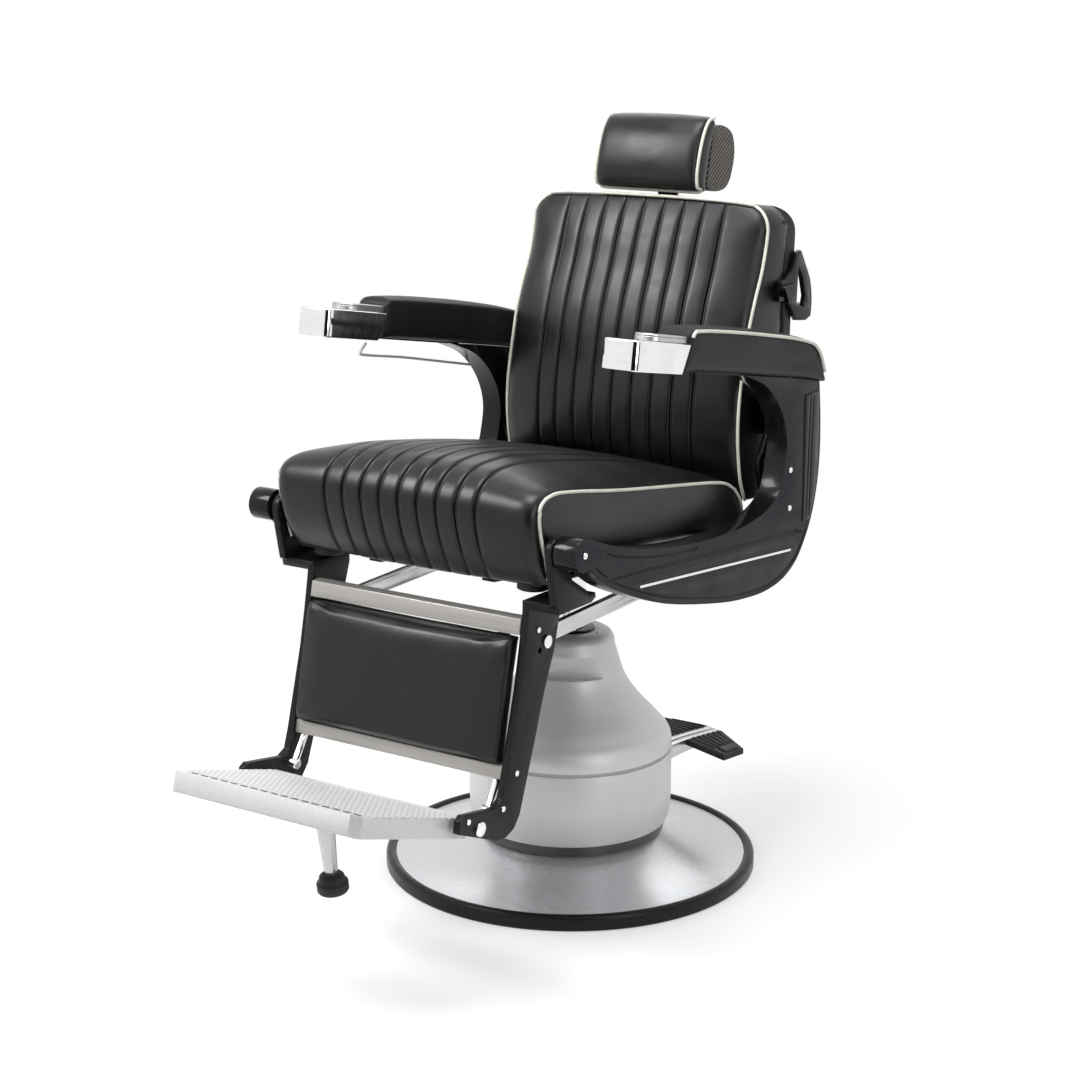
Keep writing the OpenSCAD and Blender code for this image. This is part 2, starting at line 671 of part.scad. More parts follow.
// Wire lever below the right arm that frees the recline lock.
lever_wire = [[164, 807], [144, 810], [32, 833], [-52, 850], [-150, 867], [-160, 873], [-145, 886]];
module wire(x, path, r) {
    n = len(path);
    function dir(k) = let (d = path[min(k + 1, n - 1)] - path[max(k - 1, 0)]) d / norm(d);
    rings = [for (k = [0:n - 1]) for (a = [0:45:315])
        let (t = dir(k)) [x + r * cos(a), path[k][0] - t[1] * r * sin(a), path[k][1] + t[0] * r * sin(a)]];
    faces = concat([[for (j = [0:7]) j]],
        [for (k = [0:n - 2]) for (j = [0:7])
            [k * 8 + j, (k + 1) * 8 + j, (k + 1) * 8 + (j + 1) % 8, k * 8 + (j + 1) % 8]],
        [[for (j = [7:-1:0]) (n - 1) * 8 + j]]);
    polyhedron(rings, [for (f = faces) [for (k = [len(f) - 1:-1:0]) f[k]]]);
}
module recline_lever() {
    color("#c4c6c8") chair() mirror([1, 0, 0]) difference() {
        union() {
            wire(wire_x, curve(lever_wire, 3), wire_r);
            rod_x(wire_x - wire_r - 1, wire_x + wire_r + 1, lever_pivot, 8);
        }
        rod_x(wire_x - 10, wire_x + 10, lever_pivot, 4 + run);
    }
}
module recline_stud() {
    color("#8b8d90") chair() mirror([1, 0, 0]) {
        rod_x(frame_out, wire_x - wire_r - 1 - gap, lever_pivot, 7);
        rod_x(frame_out, wire_x + wire_r + 3, lever_pivot, 4);
        rod_x(wire_x + wire_r + 1 + gap, wire_x + wire_r + 3, lever_pivot, 6.5);
    }
}

// ---- Back ----
function back_rear(z) = 225 + (z - 650) * 60 / 450;
back_side = concat(
    [[182, 634], [160, 662], [146, 705], [142, 745], [144, 790], [152, 840], [168, 912], [186, 962],
        [204, 1003], [219, 1045], [226, 1075], [236, 1100], [252, 1112], [268, 1114]],
    [for (z = [1104, 1080, 1000, 920, 840, 760, 700, 655]) [back_rear(z), z]], [[214, 634]]);
back_up = [for (j = [0:len(back_side) - 1])
    back_side[j] + (j == 0 ? [-4, 0] : j == 1 ? [-16, -2] : j < 10 ? [-back_crown, 0]
        : j < 12 ? [-back_crown * 0.6, 6] : j < 15 ? [0, 8] : [0, 0])];
module back_cushion() {
    color("#1b1a1d") chair()
        cushion(back_side, back_up, back_half, side_swell, back_pitch, flutes, channel, [1, 13]);
}
module back_board() {
    color("#6b5a45") chair() across(-board_half, board_half, [
        [back_rear(660) + gap, 660], [back_rear(660) + board_t, 660], [back_rear(1084) + board_t, 1084],
        [back_rear(1084) + gap, 1084]]);
}
shell_rear = curve([
    [312, 668], [317, 780], [319, 905], [325, 1000], [shell_out, 1050], [322, 1076], [306, 1092]], 3);
module back_shell() {
    wall = shell_t;
    inner = shell_rear - [for (k = [0:len(shell_rear) - 1]) [wall, k > 14 ? wall : 0]];
    color("#1d1c1f") chair() difference() {
        intersection() {
            across(-board_half, board_half, concat(
                [[back_rear(668) + board_t, 668]], shell_rear, [[back_rear(1098) + board_t, 1098]]));
            translate([0, 0, 600]) linear_extrude(600) offset(r = 24, $fn = 48) offset(delta = -24)
                translate([-board_half, 100]) square([2 * board_half, shell_out - 100]);
        }
        across(-board_half + wall, board_half - wall, concat(
            [[back_rear(680) + board_t - 1, 672]], inner, [[back_rear(1090) + board_t - 1, 1090]]));
        translate([-post_w / 2 - 2, post_y - post_t / 2 - 2, 1000]) cube([post_w + 4, post_t + 4, 120]);
    }
}
module back_lever(left) {
    z0 = lever_foot[0];
    z1 = lever_foot[1];
    function board_rear(z) = back_rear(z) + board_t;
    color("#2b2d30") chair() on_side(left) difference() {
        union() {
            across(lever_in, lever_out, concat(
                arc(link_rear, 17, 190, 370, 10), arc(back_pivot, 24, -15, 20, 4),
                [[board_rear(z0), z0], [board_rear(z1), z1], [back_rear(z1) - 10, z1]],
                arc(back_pivot, 24, 120, 190, 6)));
            across(board_half, lever_in + 1, [
                [back_rear(z0) + gap, z0], [back_rear(z1) + gap, z1],
                [board_rear(z1), z1], [board_rear(z0), z0]]);
        }
        rod_x(lever_in - 1, lever_out + 1, back_pivot, back_pin_r + run);
        rod_x(lever_in - 1, lever_out + 1, link_rear, leg_pin_r + run);
    }
}
module back_lever_left() {
    back_lever(true);
}
module back_lever_right() {
    back_lever(false);
}
module link_shaft() {
    color("#8b8d90") chair() {
        rod_x(-lever_out - 2, lever_out + 2, link_rear, leg_pin_r);
        both_sides() {
            rod_x(link_in + link_t + gap, lever_in - gap, link_rear, leg_pin_r + 4);
            rod_x(link_in - 6, link_in - gap, link_rear, leg_pin_r + 4);
            rod_x(lever_out, lever_out + 2, link_rear, leg_pin_r + 4);
        }
    }
}
module headrest_socket() {
    w = post_w / 2 + 5;
    y0 = post_y - post_t / 2 - 4;
    color("#55585a") chair() difference() {
        across(-w, w, [
            [back_rear(890) + board_t + run, 890], [y0 + post_t + 8, 890], [y0 + post_t + 8, 1072],
            [back_rear(1072) + board_t + run, 1072]]);
        translate([-post_w / 2 - run, post_y - post_t / 2 - run, 800])
            cube([post_w + 2 * run, post_t + 2 * run, 400]);
    }
}
module back_handles() {
    color("#1b1b1e") chair() both_sides() {
        difference() {
            across(board_half, board_half + handle_t, concat(
                [[258, 950], [278, 950], [300, 940], [322, 912], [356, 908]],
                curve([[372, 913], [375, 940], [368, 975], [350, 1004], [332, 1030]], 3),
                [[318, 1026], [306, 1000], [278, 986], [258, 984]]));
            across(board_half - 1, board_half + handle_t + 1, [
                [322, 940], [346, 932], [352, 950], [340, 985], [326, 1002]]);
            rod_x(board_half - 5, board_half + 20, knob_at, 5 + run);
        }
    }
    color("#1b1b1e") chair()
        across(-board_half, board_half, [[352, 914], [366, 918], [368, 936], [354, 934]]);
}
module clamp_knob() {
    x0 = board_half + handle_t + gap;
    color("#161617") chair() {
        rod_x(board_half + gap, x0 + 8, knob_at, 5);
        rod_x(x0, x0 + 8, knob_at, 10);
        translate([x0 + 8, knob_at[0], knob_at[1]]) rotate([0, 90, 0]) linear_extrude(9) union() {
            circle(r = 13, $fn = 48);
            for (a = [0:120:240]) rotate(a) translate([13, 0]) circle(r = 7, $fn = 32);
        }
    }
}

// ---- Headrest ----
module headrest_post() {
    color("#c4c6c8") chair() {
        translate([-post_w / 2, post_y - post_t / 2, 912]) cube([post_w, post_t, 1132 - 912]);
        translate([-post_w / 2, head_pivot[0] - 8, 1124])
            cube([post_w, post_y + post_t / 2 - head_pivot[0] + 8, 8]);
        both_sides() difference() {
            across(13, 20, concat(
                [[head_pivot[0] - 8, 1124], [head_pivot[0] + 8, 1124]], arc(head_pivot, 9, -20, 200, 10)));
            rod_x(0, 30, head_pivot, 4 + run);
        }
    }
}
module headrest_bracket() {
    color("#8b8d90") chair() {
        rod_x(-23, 23, head_pivot, 4);
        difference() {
            across(-12.5, 12.5, concat(arc(head_pivot, 7, 180, 360, 10), [[288, 1150], [288.4, 1188],
                [291.6, 1218], [286.5, 1218], [276, 1150]]));
            rod_x(-30, 30, head_pivot, 4);
        }
        across(-60, 60, [[282.4, 1188], [288.4, 1188], [291.6, 1218], [285.6, 1218]]);
    }
}
head_side = concat(
    curve([
        [240, 1126], [224, 1132], [220, 1155], [226, 1185], [236, 1208], [250, 1228], [268, 1240],
        [282, 1240]], 2),
    [[286, 1226], [282, 1190], [274, 1158], [266, 1132], [256, 1126]]);
head_up = [for (j = [0:len(head_side) - 1]) head_side[j] + (j > 1 && j < 14 ? [-6, 3] : [0, 0])];
module headrest_cushion() {
    color("#1b1a1d") chair() cushion(head_side, head_up, head_half, 3);
}
module headrest_back() {
    color("#4d4844") chair() difference() {
        across(-head_half + 4, head_half - 4, concat(
            [[290, 1228], [284.5, 1190], [276.5, 1158], [271, 1134]],
            curve([
                [276, 1128], [302, 1121], [334, 1124], [352, 1142], [364, 1180], [358, 1210], [342, 1224],
                [318, 1231], [294, 1231]], 4)));
        translate([-post_w / 2 - 4, 240, 1100]) cube([post_w + 8, 92, 75]);
        across(-61, 61, [
            [260, 1170], [288.4 + gap, 1170], [288.4 + gap, 1188], [291.6 + gap, 1219], [260, 1219]]);
    }
}

// ---- Legrest ----
leg_front = [[-431, 574], [-441, 520], [-454, 460], [-474, 389], [-490, 332], [-500, 304]];
leg_back = [[-442, 302], [-415, 372], [-389, 443], [-362, 503], [-352, 540], [-340, 574]];
function leg_plane(z) = -435 - (561 - z) * 0.218;
module legrest_bracket(left) {
    x0 = leg_half;
    x1 = bracket_out;
    n1 = neck_out;
    color("#17181a") chair() on_side(left) difference() {
        union() {
            across(x0, x1, concat(
                [[-516, 296], [-596, 309], [-606, 303], [-608, 284], [-516, 245], [-492, 242], [-470, 250],
                    [-455, 268]],
                leg_back, [[-340, 590], [-431, 590]], leg_front));
            across(x1, n1, [[-428, 576], [-342, 576], [-330, 582], [-332, 590], [-431, 590]]);
            across(neck_x, n1, concat(
                [[-414, 576], [-346, 576], [-352, 596], [-394, 622], [-409, 650]],
                arc(leg_pivot, 21, -10, 190, 12), [[-446, 640], [-436, 590]]));
        }
        rod_x(neck_x - 1, n1 + 1, leg_pivot, leg_pin_r + run);
        rod_x(x0 - 1, x1 + 1, plate_hinge, leg_pin_r + run);
        rod_x(x0 - 1, x1 + 1, link_front, leg_pin_r + run);
        rod_x(x0 - 1, x1 + 1, [-402, 508], 5);
    }
}
module legrest_bracket_left() {
    legrest_bracket(true);
}
module legrest_bracket_right() {
    legrest_bracket(false);
}
module leg_rail(top, low, depth) {
    across(-leg_half, leg_half, [
        [leg_plane(top), top], [leg_plane(low), low], [leg_plane(low) + depth, low + 3],
        [leg_plane(top) + depth, top + 3]]);
}
module legrest_rails() {
    color("#b3aea6") chair() {
        depth = 14;
        leg_rail(562, 538, depth);
        leg_rail(348, 328, depth);
        both_sides() across(leg_half - 47, leg_half - 27, [
            for (end = [[540, 0], [346, 0], [346, 6], [540, 6]])
                [leg_plane(end[0]) + depth + end[1], end[0]]]);
    }
}
function pad_face(z, d) = [leg_plane(z) - d, z];
leg_side = concat(
    [pad_face(352, 2), pad_face(351, 8), pad_face(354, pad_proud - 4), pad_face(364, pad_proud)],
    [for (z = [400, 443, 487]) pad_face(z, pad_proud + 1)],
    [pad_face(522, pad_proud), pad_face(531, pad_proud - 4), pad_face(534.5, 8), pad_face(534.5, 2)],
    [pad_face(534, -13), pad_face(480, -13.6), pad_face(420, -13.6), pad_face(354, -13)]);
leg_up = [for (j = [0:len(leg_side) - 1]) leg_side[j] + (j > 2 && j < 8 ? [-7, 0] : [0, 0])];
module legrest_pad() {
    color("#1b1a1d") chair() cushion(leg_side, leg_up, leg_pad_half - 2, 2);
}
module legrest_struts() {
    a = [leg_plane(328) + 8, 325.3];
    b = [-504, 284];
    color("#d7d9da") chair() both_sides() {
        translate([leg_half - 13, a[0], a[1]]) rotate([atan2(b[1] - a[1], b[0] - a[0]) - 90, 0, 0])
            cylinder(h = norm(b - a), r = 6, $fn = 32);
        rod_x(leg_half - 20, leg_half, b, 8);
    }
}
module legrest_screws() {
    x1 = bracket_out;
    color("#c4c6c8") chair() both_sides() {
        for (at = [[-407, 541], [-465, 335], [-587, 297], [-500, 290]]) rod_x(x1, x1 + 2.5, at, 4.5);
        rod_x(link_in - 3, x1 + 1, link_front, leg_pin_r);
        rod_x(x1 + 1, x1 + 4, link_front, leg_pin_r + 2);
        rod_x(plate_half - 20, x1 + 2, plate_hinge, leg_pin_r);
        rod_x(x1, x1 + 5, plate_hinge, leg_pin_r + 3);
        rod_x(plate_half + gap, leg_half, plate_hinge, leg_pin_r + 4);
    }
}

// ---- Links between back and legrest ----
module link_bars() {
    eye = link_h / 2;
    color("#dcdedf") chair() both_sides() difference() {
        across(link_in, link_in + link_t, concat(
            arc(link_front, eye, 90, 270, 10), arc(link_rear, eye + 2, -90, 90, 10)));
        rod_x(link_in - 1, link_in + link_t + 1, link_front, leg_pin_r + 2 * gap);
        rod_x(link_in - 1, link_in + link_t + 1, link_rear, leg_pin_r + run);
    }
}

// ---- Footplate: drawn flat along -Y from its hinge, then tilted up ----
module at_hinge() {
    chair() translate([0, plate_hinge[0], plate_hinge[1]]) rotate([-plate_slope, 0, 0]) children();
}
module footplate() {
    low = plate_low;
    front = -plate_l;
    inset = 22;
    color("#d3d4d3") at_hinge() difference() {
        intersection() {
            across(-plate_half - 1, plate_half + 1, concat(
                [[front, plate_top], [front, low + 4], [front + 6, low], [2, low], [9, low + 8],
                    [9, plate_top - 1]],
                [for (k = [0:ridges - 1]) for (t = [0, 1])
                    [-2 - (k + t * 0.5) * tread, plate_top - 2.5 + t * 2.5]],
                [[-2 - ridges * tread, plate_top - 2.5]]));
            translate([0, 0, -60]) linear_extrude(120) polygon([
                [-plate_half, 20], [plate_half, 20], [plate_half, -40], [plate_half - 13, front + 12],
                [plate_half - 28, front - 1], [-plate_half + 28, front - 1], [-plate_half + 13, front + 12],
                [-plate_half, -40]]);
        }
        difference() {
            translate([inset - plate_half, front + 14, low - 10])
                cube([2 * (plate_half - inset), plate_l - 26, plate_t + 10 - skin]);
            for (y = rib_at) translate([-plate_half, y, low + 3]) cube([2 * plate_half, 6, plate_t]);
            translate([-18, rib_at[0] + 6, low + 3]) cube([36, 34, plate_t]);
        }
        both_sides() rod_x(plate_half - 21, plate_half + 5, [0, 0], leg_pin_r + run);
        for (k = [-5:5]) translate([k * slot_pitch - 4, front + 22, plate_top - 4]) cube([8, 2.5, 10]);
    }
}
module at_prop() {
    at_hinge() translate([0, prop_at, plate_low + 3]) children();
}
module prop_leg() {
    color("#d3d4d3") at_prop() {
        rotate([plate_slope + 8, 0, 0]) {
            translate([0, 0, -prop_l]) cylinder(h = prop_l - 8, r1 = 10.5, r2 = 15, $fn = 48);
            translate([0, 0, -prop_l - 6]) cylinder(h = 6, r = 8, $fn = 48);
        }
        translate([0, 0, -16]) cylinder(h = 16, r = 17, $fn = 48);
    }
}
module prop_foot() {
    color("#1a1a1b") at_prop() rotate([plate_slope + 8, 0, 0]) translate([0, 0, -prop_l - 6])
        rotate_extrude($fn = 64) polygon([
            [0, 0], [0, -29], [22, -29], [24, -26], [24, -14], [20, -11], [19, -4], [15, 0]]);
}

base_ring();
base_plate();
base_disc();
gap_ring();
drum_cover_left();
drum_cover_right();
seam_ring();
bell_cover();
bell_cap();
cylinder_tube();
pump_block();
pump_plunger();
pedal_shaft();
base_bolts();
pump_lever();
pump_pad();
release_lever();
release_pad();
ram();
ram_piston();
swivel_hub();
seat_frame();
seat_pan();
seat_cushion();
seat_bumpers();
side_frame_left();
side_frame_right();
frame_trims();
chrome_inlays();
frame_screws();
pivot_pins();
arm_tip_left();
arm_tip_right();
arm_pad_left();
arm_pad_right();
recline_lever();
recline_stud();
back_cushion();
back_board();
back_shell();
back_lever_left();
back_lever_right();
link_shaft();
headrest_socket();
back_handles();
clamp_knob();
headrest_post();
headrest_bracket();
headrest_cushion();
headrest_back();
legrest_bracket_left();
legrest_bracket_right();
legrest_rails();
legrest_pad();
legrest_struts();
legrest_screws();
link_bars();
footplate();
prop_leg();
prop_foot();
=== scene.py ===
"""Looks of the hydraulic barber chair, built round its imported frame."""

import json
import math

import bmesh
import bpy
import numpy as np
from mathutils import Matrix, Vector, noise

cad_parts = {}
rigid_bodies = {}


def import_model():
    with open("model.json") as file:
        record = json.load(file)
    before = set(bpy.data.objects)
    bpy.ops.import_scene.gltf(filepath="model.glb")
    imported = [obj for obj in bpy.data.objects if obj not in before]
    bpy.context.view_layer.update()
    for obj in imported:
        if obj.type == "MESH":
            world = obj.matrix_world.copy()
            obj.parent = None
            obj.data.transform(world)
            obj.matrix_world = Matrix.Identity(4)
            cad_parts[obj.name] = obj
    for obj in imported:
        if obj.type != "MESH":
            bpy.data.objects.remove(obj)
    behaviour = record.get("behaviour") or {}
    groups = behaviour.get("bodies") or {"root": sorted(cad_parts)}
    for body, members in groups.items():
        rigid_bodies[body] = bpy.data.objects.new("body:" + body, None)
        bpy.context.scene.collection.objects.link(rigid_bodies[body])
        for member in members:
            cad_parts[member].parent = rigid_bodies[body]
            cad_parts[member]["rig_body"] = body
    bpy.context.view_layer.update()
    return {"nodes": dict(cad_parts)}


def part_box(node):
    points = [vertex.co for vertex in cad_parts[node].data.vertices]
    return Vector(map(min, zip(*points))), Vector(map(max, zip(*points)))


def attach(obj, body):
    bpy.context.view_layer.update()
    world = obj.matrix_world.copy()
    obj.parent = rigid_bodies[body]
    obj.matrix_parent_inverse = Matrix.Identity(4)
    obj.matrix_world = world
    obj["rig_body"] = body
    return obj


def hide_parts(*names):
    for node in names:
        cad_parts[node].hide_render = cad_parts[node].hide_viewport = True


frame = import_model()
nodes = frame["nodes"]

# ---- Sizes in millimetres: +Z up, the sitter faces -Y, +X is the sitter's left ----
MM = 0.001


def low(node):
    """The lowest corner of a node's box, in millimetres."""
    return np.array(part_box(node)[0]) / MM


def high(node):
    """The highest corner of a node's box, in millimetres."""
    return np.array(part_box(node)[1]) / MM


SIDE_SWELL = 4.0
SEAT_HALF = high("seat_cushion")[0] - SIDE_SWELL
BACK_HALF = high("back_cushion")[0] - SIDE_SWELL
HEAD_HALF = high("headrest_cushion")[0] - 3
FRAME_OUT = high("side_frame_left")[0]
FRAME_IN = low("side_frame_left")[0]
FRAME_MID = (FRAME_IN + FRAME_OUT) / 2
LEG_PAD_HALF = high("legrest_pad")[0] - 2
FLUTES = 8
SEAT_PITCH = 35.0
BACK_PITCH = 38.0
PIPING_R = 2.7
SLOPE = math.radians(3.56)
ARM_SLOPE = math.radians(-9.8)
ARM_ORIGIN = (FRAME_MID, -310.0, 968.0)
PLATE_SLOPE = math.radians(-17)
PLATE_HINGE = (0.0, -560.0, 278.0)
PEDAL_TURN = math.radians(-18)


# ---- Curves and meshes ----
def smooth(points, steps):
    """A smooth open curve through points, with a number of steps to each span."""
    points = np.asarray(points, float)
    last = len(points) - 1
    out = []
    for i in range(last):
        a, b, c, d = (points[min(max(k, 0), last)] for k in (i - 1, i, i + 1, i + 2))
        for t in np.arange(steps) / steps:
            out.append(0.5 * (2 * b + (c - a) * t + (2 * a - 5 * b + 4 * c - d) * t ** 2
                              + (3 * b - a - 3 * c + d) * t ** 3))
    out.append(points[last])
    return np.array(out)


def unit(vectors):
    """Vectors brought to a length of one."""
    vectors = np.asarray(vectors, float)
    return vectors / np.maximum(np.linalg.norm(vectors, axis=-1, keepdims=True), 1e-9)


def shade(mesh, angle=32):
    """Shades a mesh smooth but for its edges above an angle."""
    mesh.shade_smooth()
    mesh.set_sharp_from_angle(angle=math.radians(angle))


def linked(name, data):
    """A new object in the scene."""
    made = bpy.data.objects.new(name, data)
    bpy.context.scene.collection.objects.link(made)
    return made


def piece(name, points, faces, place=None, angle=32):
    """A new mesh from points in millimetres, with its faces turned outward."""
    mesh = bpy.data.meshes.new(name)
    mesh.from_pydata([tuple(c * MM for c in p) for p in points], [], [list(f) for f in faces])
    if place is not None:
        mesh.transform(place)
    shape = bmesh.new()
    shape.from_mesh(mesh)
    bmesh.ops.recalc_face_normals(shape, faces=shape.faces)
    shape.to_mesh(mesh)
    shape.free()
    mesh.update()
    shade(mesh, angle)
    return linked(name, mesh)


def at(origin, tilt):
    """The place of a piece that is drawn level and then tilted about X."""
    return Matrix.Translation(Vector(origin) * MM) @ Matrix.Rotation(tilt, 4, "X")


MIRROR = Matrix.Scale(-1, 4, (1, 0, 0))
SIDES = (("left", 1), ("right", -1))


def ribbon(rings):
    """A closed skin that joins rings of equal length, one after the other."""
    count, size = len(rings), len(rings[0])
    points = [p for ring in rings for p in ring]
    faces = []
    for k in range(count - 1):
        a, b = k * size, (k + 1) * size
        for j in range(size):
            n = (j + 1) % size
            faces.append((a + j, a + n, b + n, b + j))
    faces.append(range(size))
    faces.append(range((count - 1) * size, count * size))
    return points, faces


def slab(top, base):
    """A closed sheet between rows of points on its top and a flat underside at a height."""
    rows, wide = len(top), len(top[0])
    points = [p for row in top for p in row]
    count = len(points)
    points += [(x, y, base) for x, y, _ in points]
    faces = []
    for j in range(rows - 1):
        for i in range(wide - 1):
            a = j * wide + i
            faces.append((a, a + 1, a + wide + 1, a + wide))
            faces.append(tuple(count + k for k in (a, a + wide, a + wide + 1, a + 1)))
    rim = list(range(wide))
    rim += [j * wide + wide - 1 for j in range(1, rows)]
    rim += [(rows - 1) * wide + i for i in range(wide - 2, -1, -1)]
    rim += [j * wide for j in range(rows - 2, 0, -1)]
    for a, b in zip(rim, rim[1:] + rim[:1]):
        faces.append((a, b, count + b, count + a))
    return points, faces


OFF_AXIS = (0.31, 0.52, 0.79)


def tube(path, radius, sides):
    """Rings of a round tube along a path, carried along without twist."""
    path = np.asarray(path, float)
    ahead = np.vstack([path[1:], path[-1:]])
    behind = np.vstack([path[:1], path[:-1]])
    way = unit(ahead - behind)
    side = np.cross(way[0], OFF_AXIS)
    rings = []
    for p, t in zip(path, way):
        side = unit(side - t * np.dot(side, t))
        other = np.cross(t, side)
        rings.append([p + radius * (math.cos(a) * side + math.sin(a) * other)
                      for a in np.arange(sides) * 2 * math.pi / sides])
    return ribbon(rings)


def cord_piece(name, path, radius, place=None, sides=10):
    """A round cord, as a piece of its own."""
    return piece(name, *tube(path, radius, sides), place, 60)


def baked(made):
    """Gives a piece its modifiers' result."""
    graph = bpy.context.evaluated_depsgraph_get()
    mesh = bpy.data.meshes.new_from_object(made.evaluated_get(graph))
    made.modifiers.clear()
    made.data = mesh


def copy_of(node):
    """A new piece with a copy of a node's mesh."""
    return linked(node + "_form", nodes[node].data.copy())


SAME_SPOT = 0.004 * MM
FLAT_JOINT = math.radians(0.4)
WIDE_ENOUGH = 0.6


def joined_faces(made):
    """An editable mesh of a piece, with its triangles joined to flat faces."""
    shape = bmesh.new()
    shape.from_mesh(made.data)
    bmesh.ops.remove_doubles(shape, verts=shape.verts, dist=SAME_SPOT)
    bmesh.ops.dissolve_limit(shape, angle_limit=FLAT_JOINT, verts=shape.verts, edges=shape.edges)
    return shape


def bevel(shape, edges, width, steps):
    """Rounds edges by a width in millimetres."""
    bmesh.ops.bevel(shape, geom=edges, offset=width * MM, offset_type="OFFSET", segments=steps,
                    profile=0.5, affect="EDGES", clamp_overlap=True)


def to_mesh(shape, made):
    """Writes an edited mesh back to its piece."""
    shape.to_mesh(made.data)
    shape.free()
    shade(made.data)


def rounded(made, width, steps, angle):
    """Rounds the edges between faces that are wide enough for it."""
    shape = joined_faces(made)
    wide = {f: 2 * f.calc_area() / max(f.calc_perimeter(), 1e-9) for f in shape.faces}
    edges = [e for e in shape.edges if len(e.link_faces) == 2
             and e.calc_face_angle(0) > math.radians(angle)
             and min(wide[f] for f in e.link_faces) > WIDE_ENOUGH * width * MM]
    if edges:
        bevel(shape, edges, width, steps)
    to_mesh(shape, made)


def body_of(node):
    """The body that a node moves with."""
    return nodes[node]["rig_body"]


def form_of(node, width, steps=2, angle=35):
    """A copy of a hard node with its edges rounded, which stands for that node."""
    made = copy_of(node)
    made.data.materials.clear()
    rounded(made, width, steps, angle)
    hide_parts(node)
    return made


def carve(made, cutters):
    """Cuts pieces out of a piece."""
    for cutter in cutters:
        cut = made.modifiers.new("cut", "BOOLEAN")
        cut.operation = "DIFFERENCE"
        cut.solver = "EXACT"
        cut.object = cutter
    baked(made)
    for cutter in cutters:
        bpy.data.objects.remove(cutter)
    shade(made.data)


def painted(made, *finishes):
    """Gives a piece its finishes and takes every other off."""
    made.data.materials.clear()
    for finish in finishes:
        made.data.materials.append(finish)


def finished(made, finish, body):
    """Gives a piece its finish and the body that it moves with."""
    painted(made, finish)
    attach(made, body)


# ---- Shader graphs ----
class Graph:
    """Adds nodes to a shader tree. Inputs given as sockets are linked, and others are set."""

    def __init__(self, tree):
        """Works on a tree."""
        self.tree = tree

    def add(self, kind, inputs=None, **settings):
        """A new shader node with its inputs and settings."""
        node = self.tree.nodes.new("ShaderNode" + kind)
        for name, value in settings.items():
            setattr(node, name, value)
        for name, value in (inputs or {}).items():
            if isinstance(value, bpy.types.NodeSocket):
                self.tree.links.new(value, node.inputs[name])
            else:
                node.inputs[name].default_value = value
        return node

    def math(self, operation, a, b=0.0, clamp=False):
        """A sum, product or other reckoning of one or two values."""
        return self.add("Math", {0: a, 1: b}, operation=operation, use_clamp=clamp).outputs[0]

    def span(self, value, from_low, from_high, to_low=0.0, to_high=1.0):
        """Maps a range onto another one and holds it at both ends."""
        return self.add("MapRange", {"Value": value, "From Min": from_low, "From Max": from_high,
                                     "To Min": to_low, "To Max": to_high}).outputs[0]

    def mix(self, factor, a, b):
        """A colour between two others."""
        return self.add("Mix", {0: factor, 6: a, 7: b}, data_type="RGBA").outputs[2]

    def place(self):
        """Where a spot lies on its piece."""
        return self.add("TexCoord").outputs["Object"]

    def along(self, direction):
        """How far a spot lies along a direction."""
        both = self.add("VectorMath", {0: self.place(), 1: direction}, operation="DOT_PRODUCT")
        return both.outputs["Value"]

    def noise(self, vector, scale, detail=2.0, roughness=0.5):
        """Smooth uneven values, from nought to one."""
        return self.add("TexNoise", {"Vector": vector, "Scale": scale, "Detail": detail,
                                     "Roughness": roughness}).outputs[0]


def effect(name, given, puts_out, build):
    """A shader node group with named inputs and outputs."""
    tree = bpy.data.node_groups.new(name, "ShaderNodeTree")
    for label, value in given.items():
        kind = "NodeSocketVector" if isinstance(value, tuple) else "NodeSocketFloat"
        tree.interface.new_socket(label, in_out="INPUT", socket_type=kind).default_value = value
    for label in puts_out:
        tree.interface.new_socket(label, in_out="OUTPUT", socket_type="NodeSocketFloat")
    start = tree.nodes.new("NodeGroupInput")
    end = tree.nodes.new("NodeGroupOutput")
    for label, socket in build(Graph(tree), start.outputs).items():
        tree.links.new(socket, end.inputs[label])
    return tree


def hide_grain(g, given):
    """Small rounded cells with folds between them, as on a grained hide."""
    wander = g.add("TexNoise", {"Vector": g.place(), "Scale": 160.0, "Detail": 1.0}).outputs["Color"]
    shifted = g.add("VectorMath", {0: wander, "Scale": 0.003}, operation="SCALE").outputs[0]
    spot = g.add("VectorMath", {0: g.place(), 1: shifted}, operation="ADD").outputs[0]
    cells = g.add("TexVoronoi", {"Vector": spot, "Scale": given["Scale"]}, feature="DISTANCE_TO_EDGE")
    fold = g.span(cells.outputs["Distance"], 0.0, 0.22)
    fine = g.noise(spot, given["Fine"], 2.0)
    height = g.math("ADD", fold, g.math("MULTIPLY", fine, 0.35))
    return {"Height": height, "Tone": g.span(g.noise(g.place(), 14.0, 3.0), 0.35, 0.7)}


def handling(g, given):
    """Faint uneven patches left by hands, wiping and use."""
    broad = g.noise(g.place(), given["Scale"], 4.0, 0.62)
    streaks = g.noise(g.add("Mapping", {"Vector": g.place(), "Scale": (1, 0.25, 3)}).outputs[0],
                      given["Streaks"], 3.0)
    both = g.math("ADD", g.math("MULTIPLY", broad, 0.65), g.math("MULTIPLY", streaks, 0.35))
    return {"Mask": g.span(both, 0.42, 0.62)}


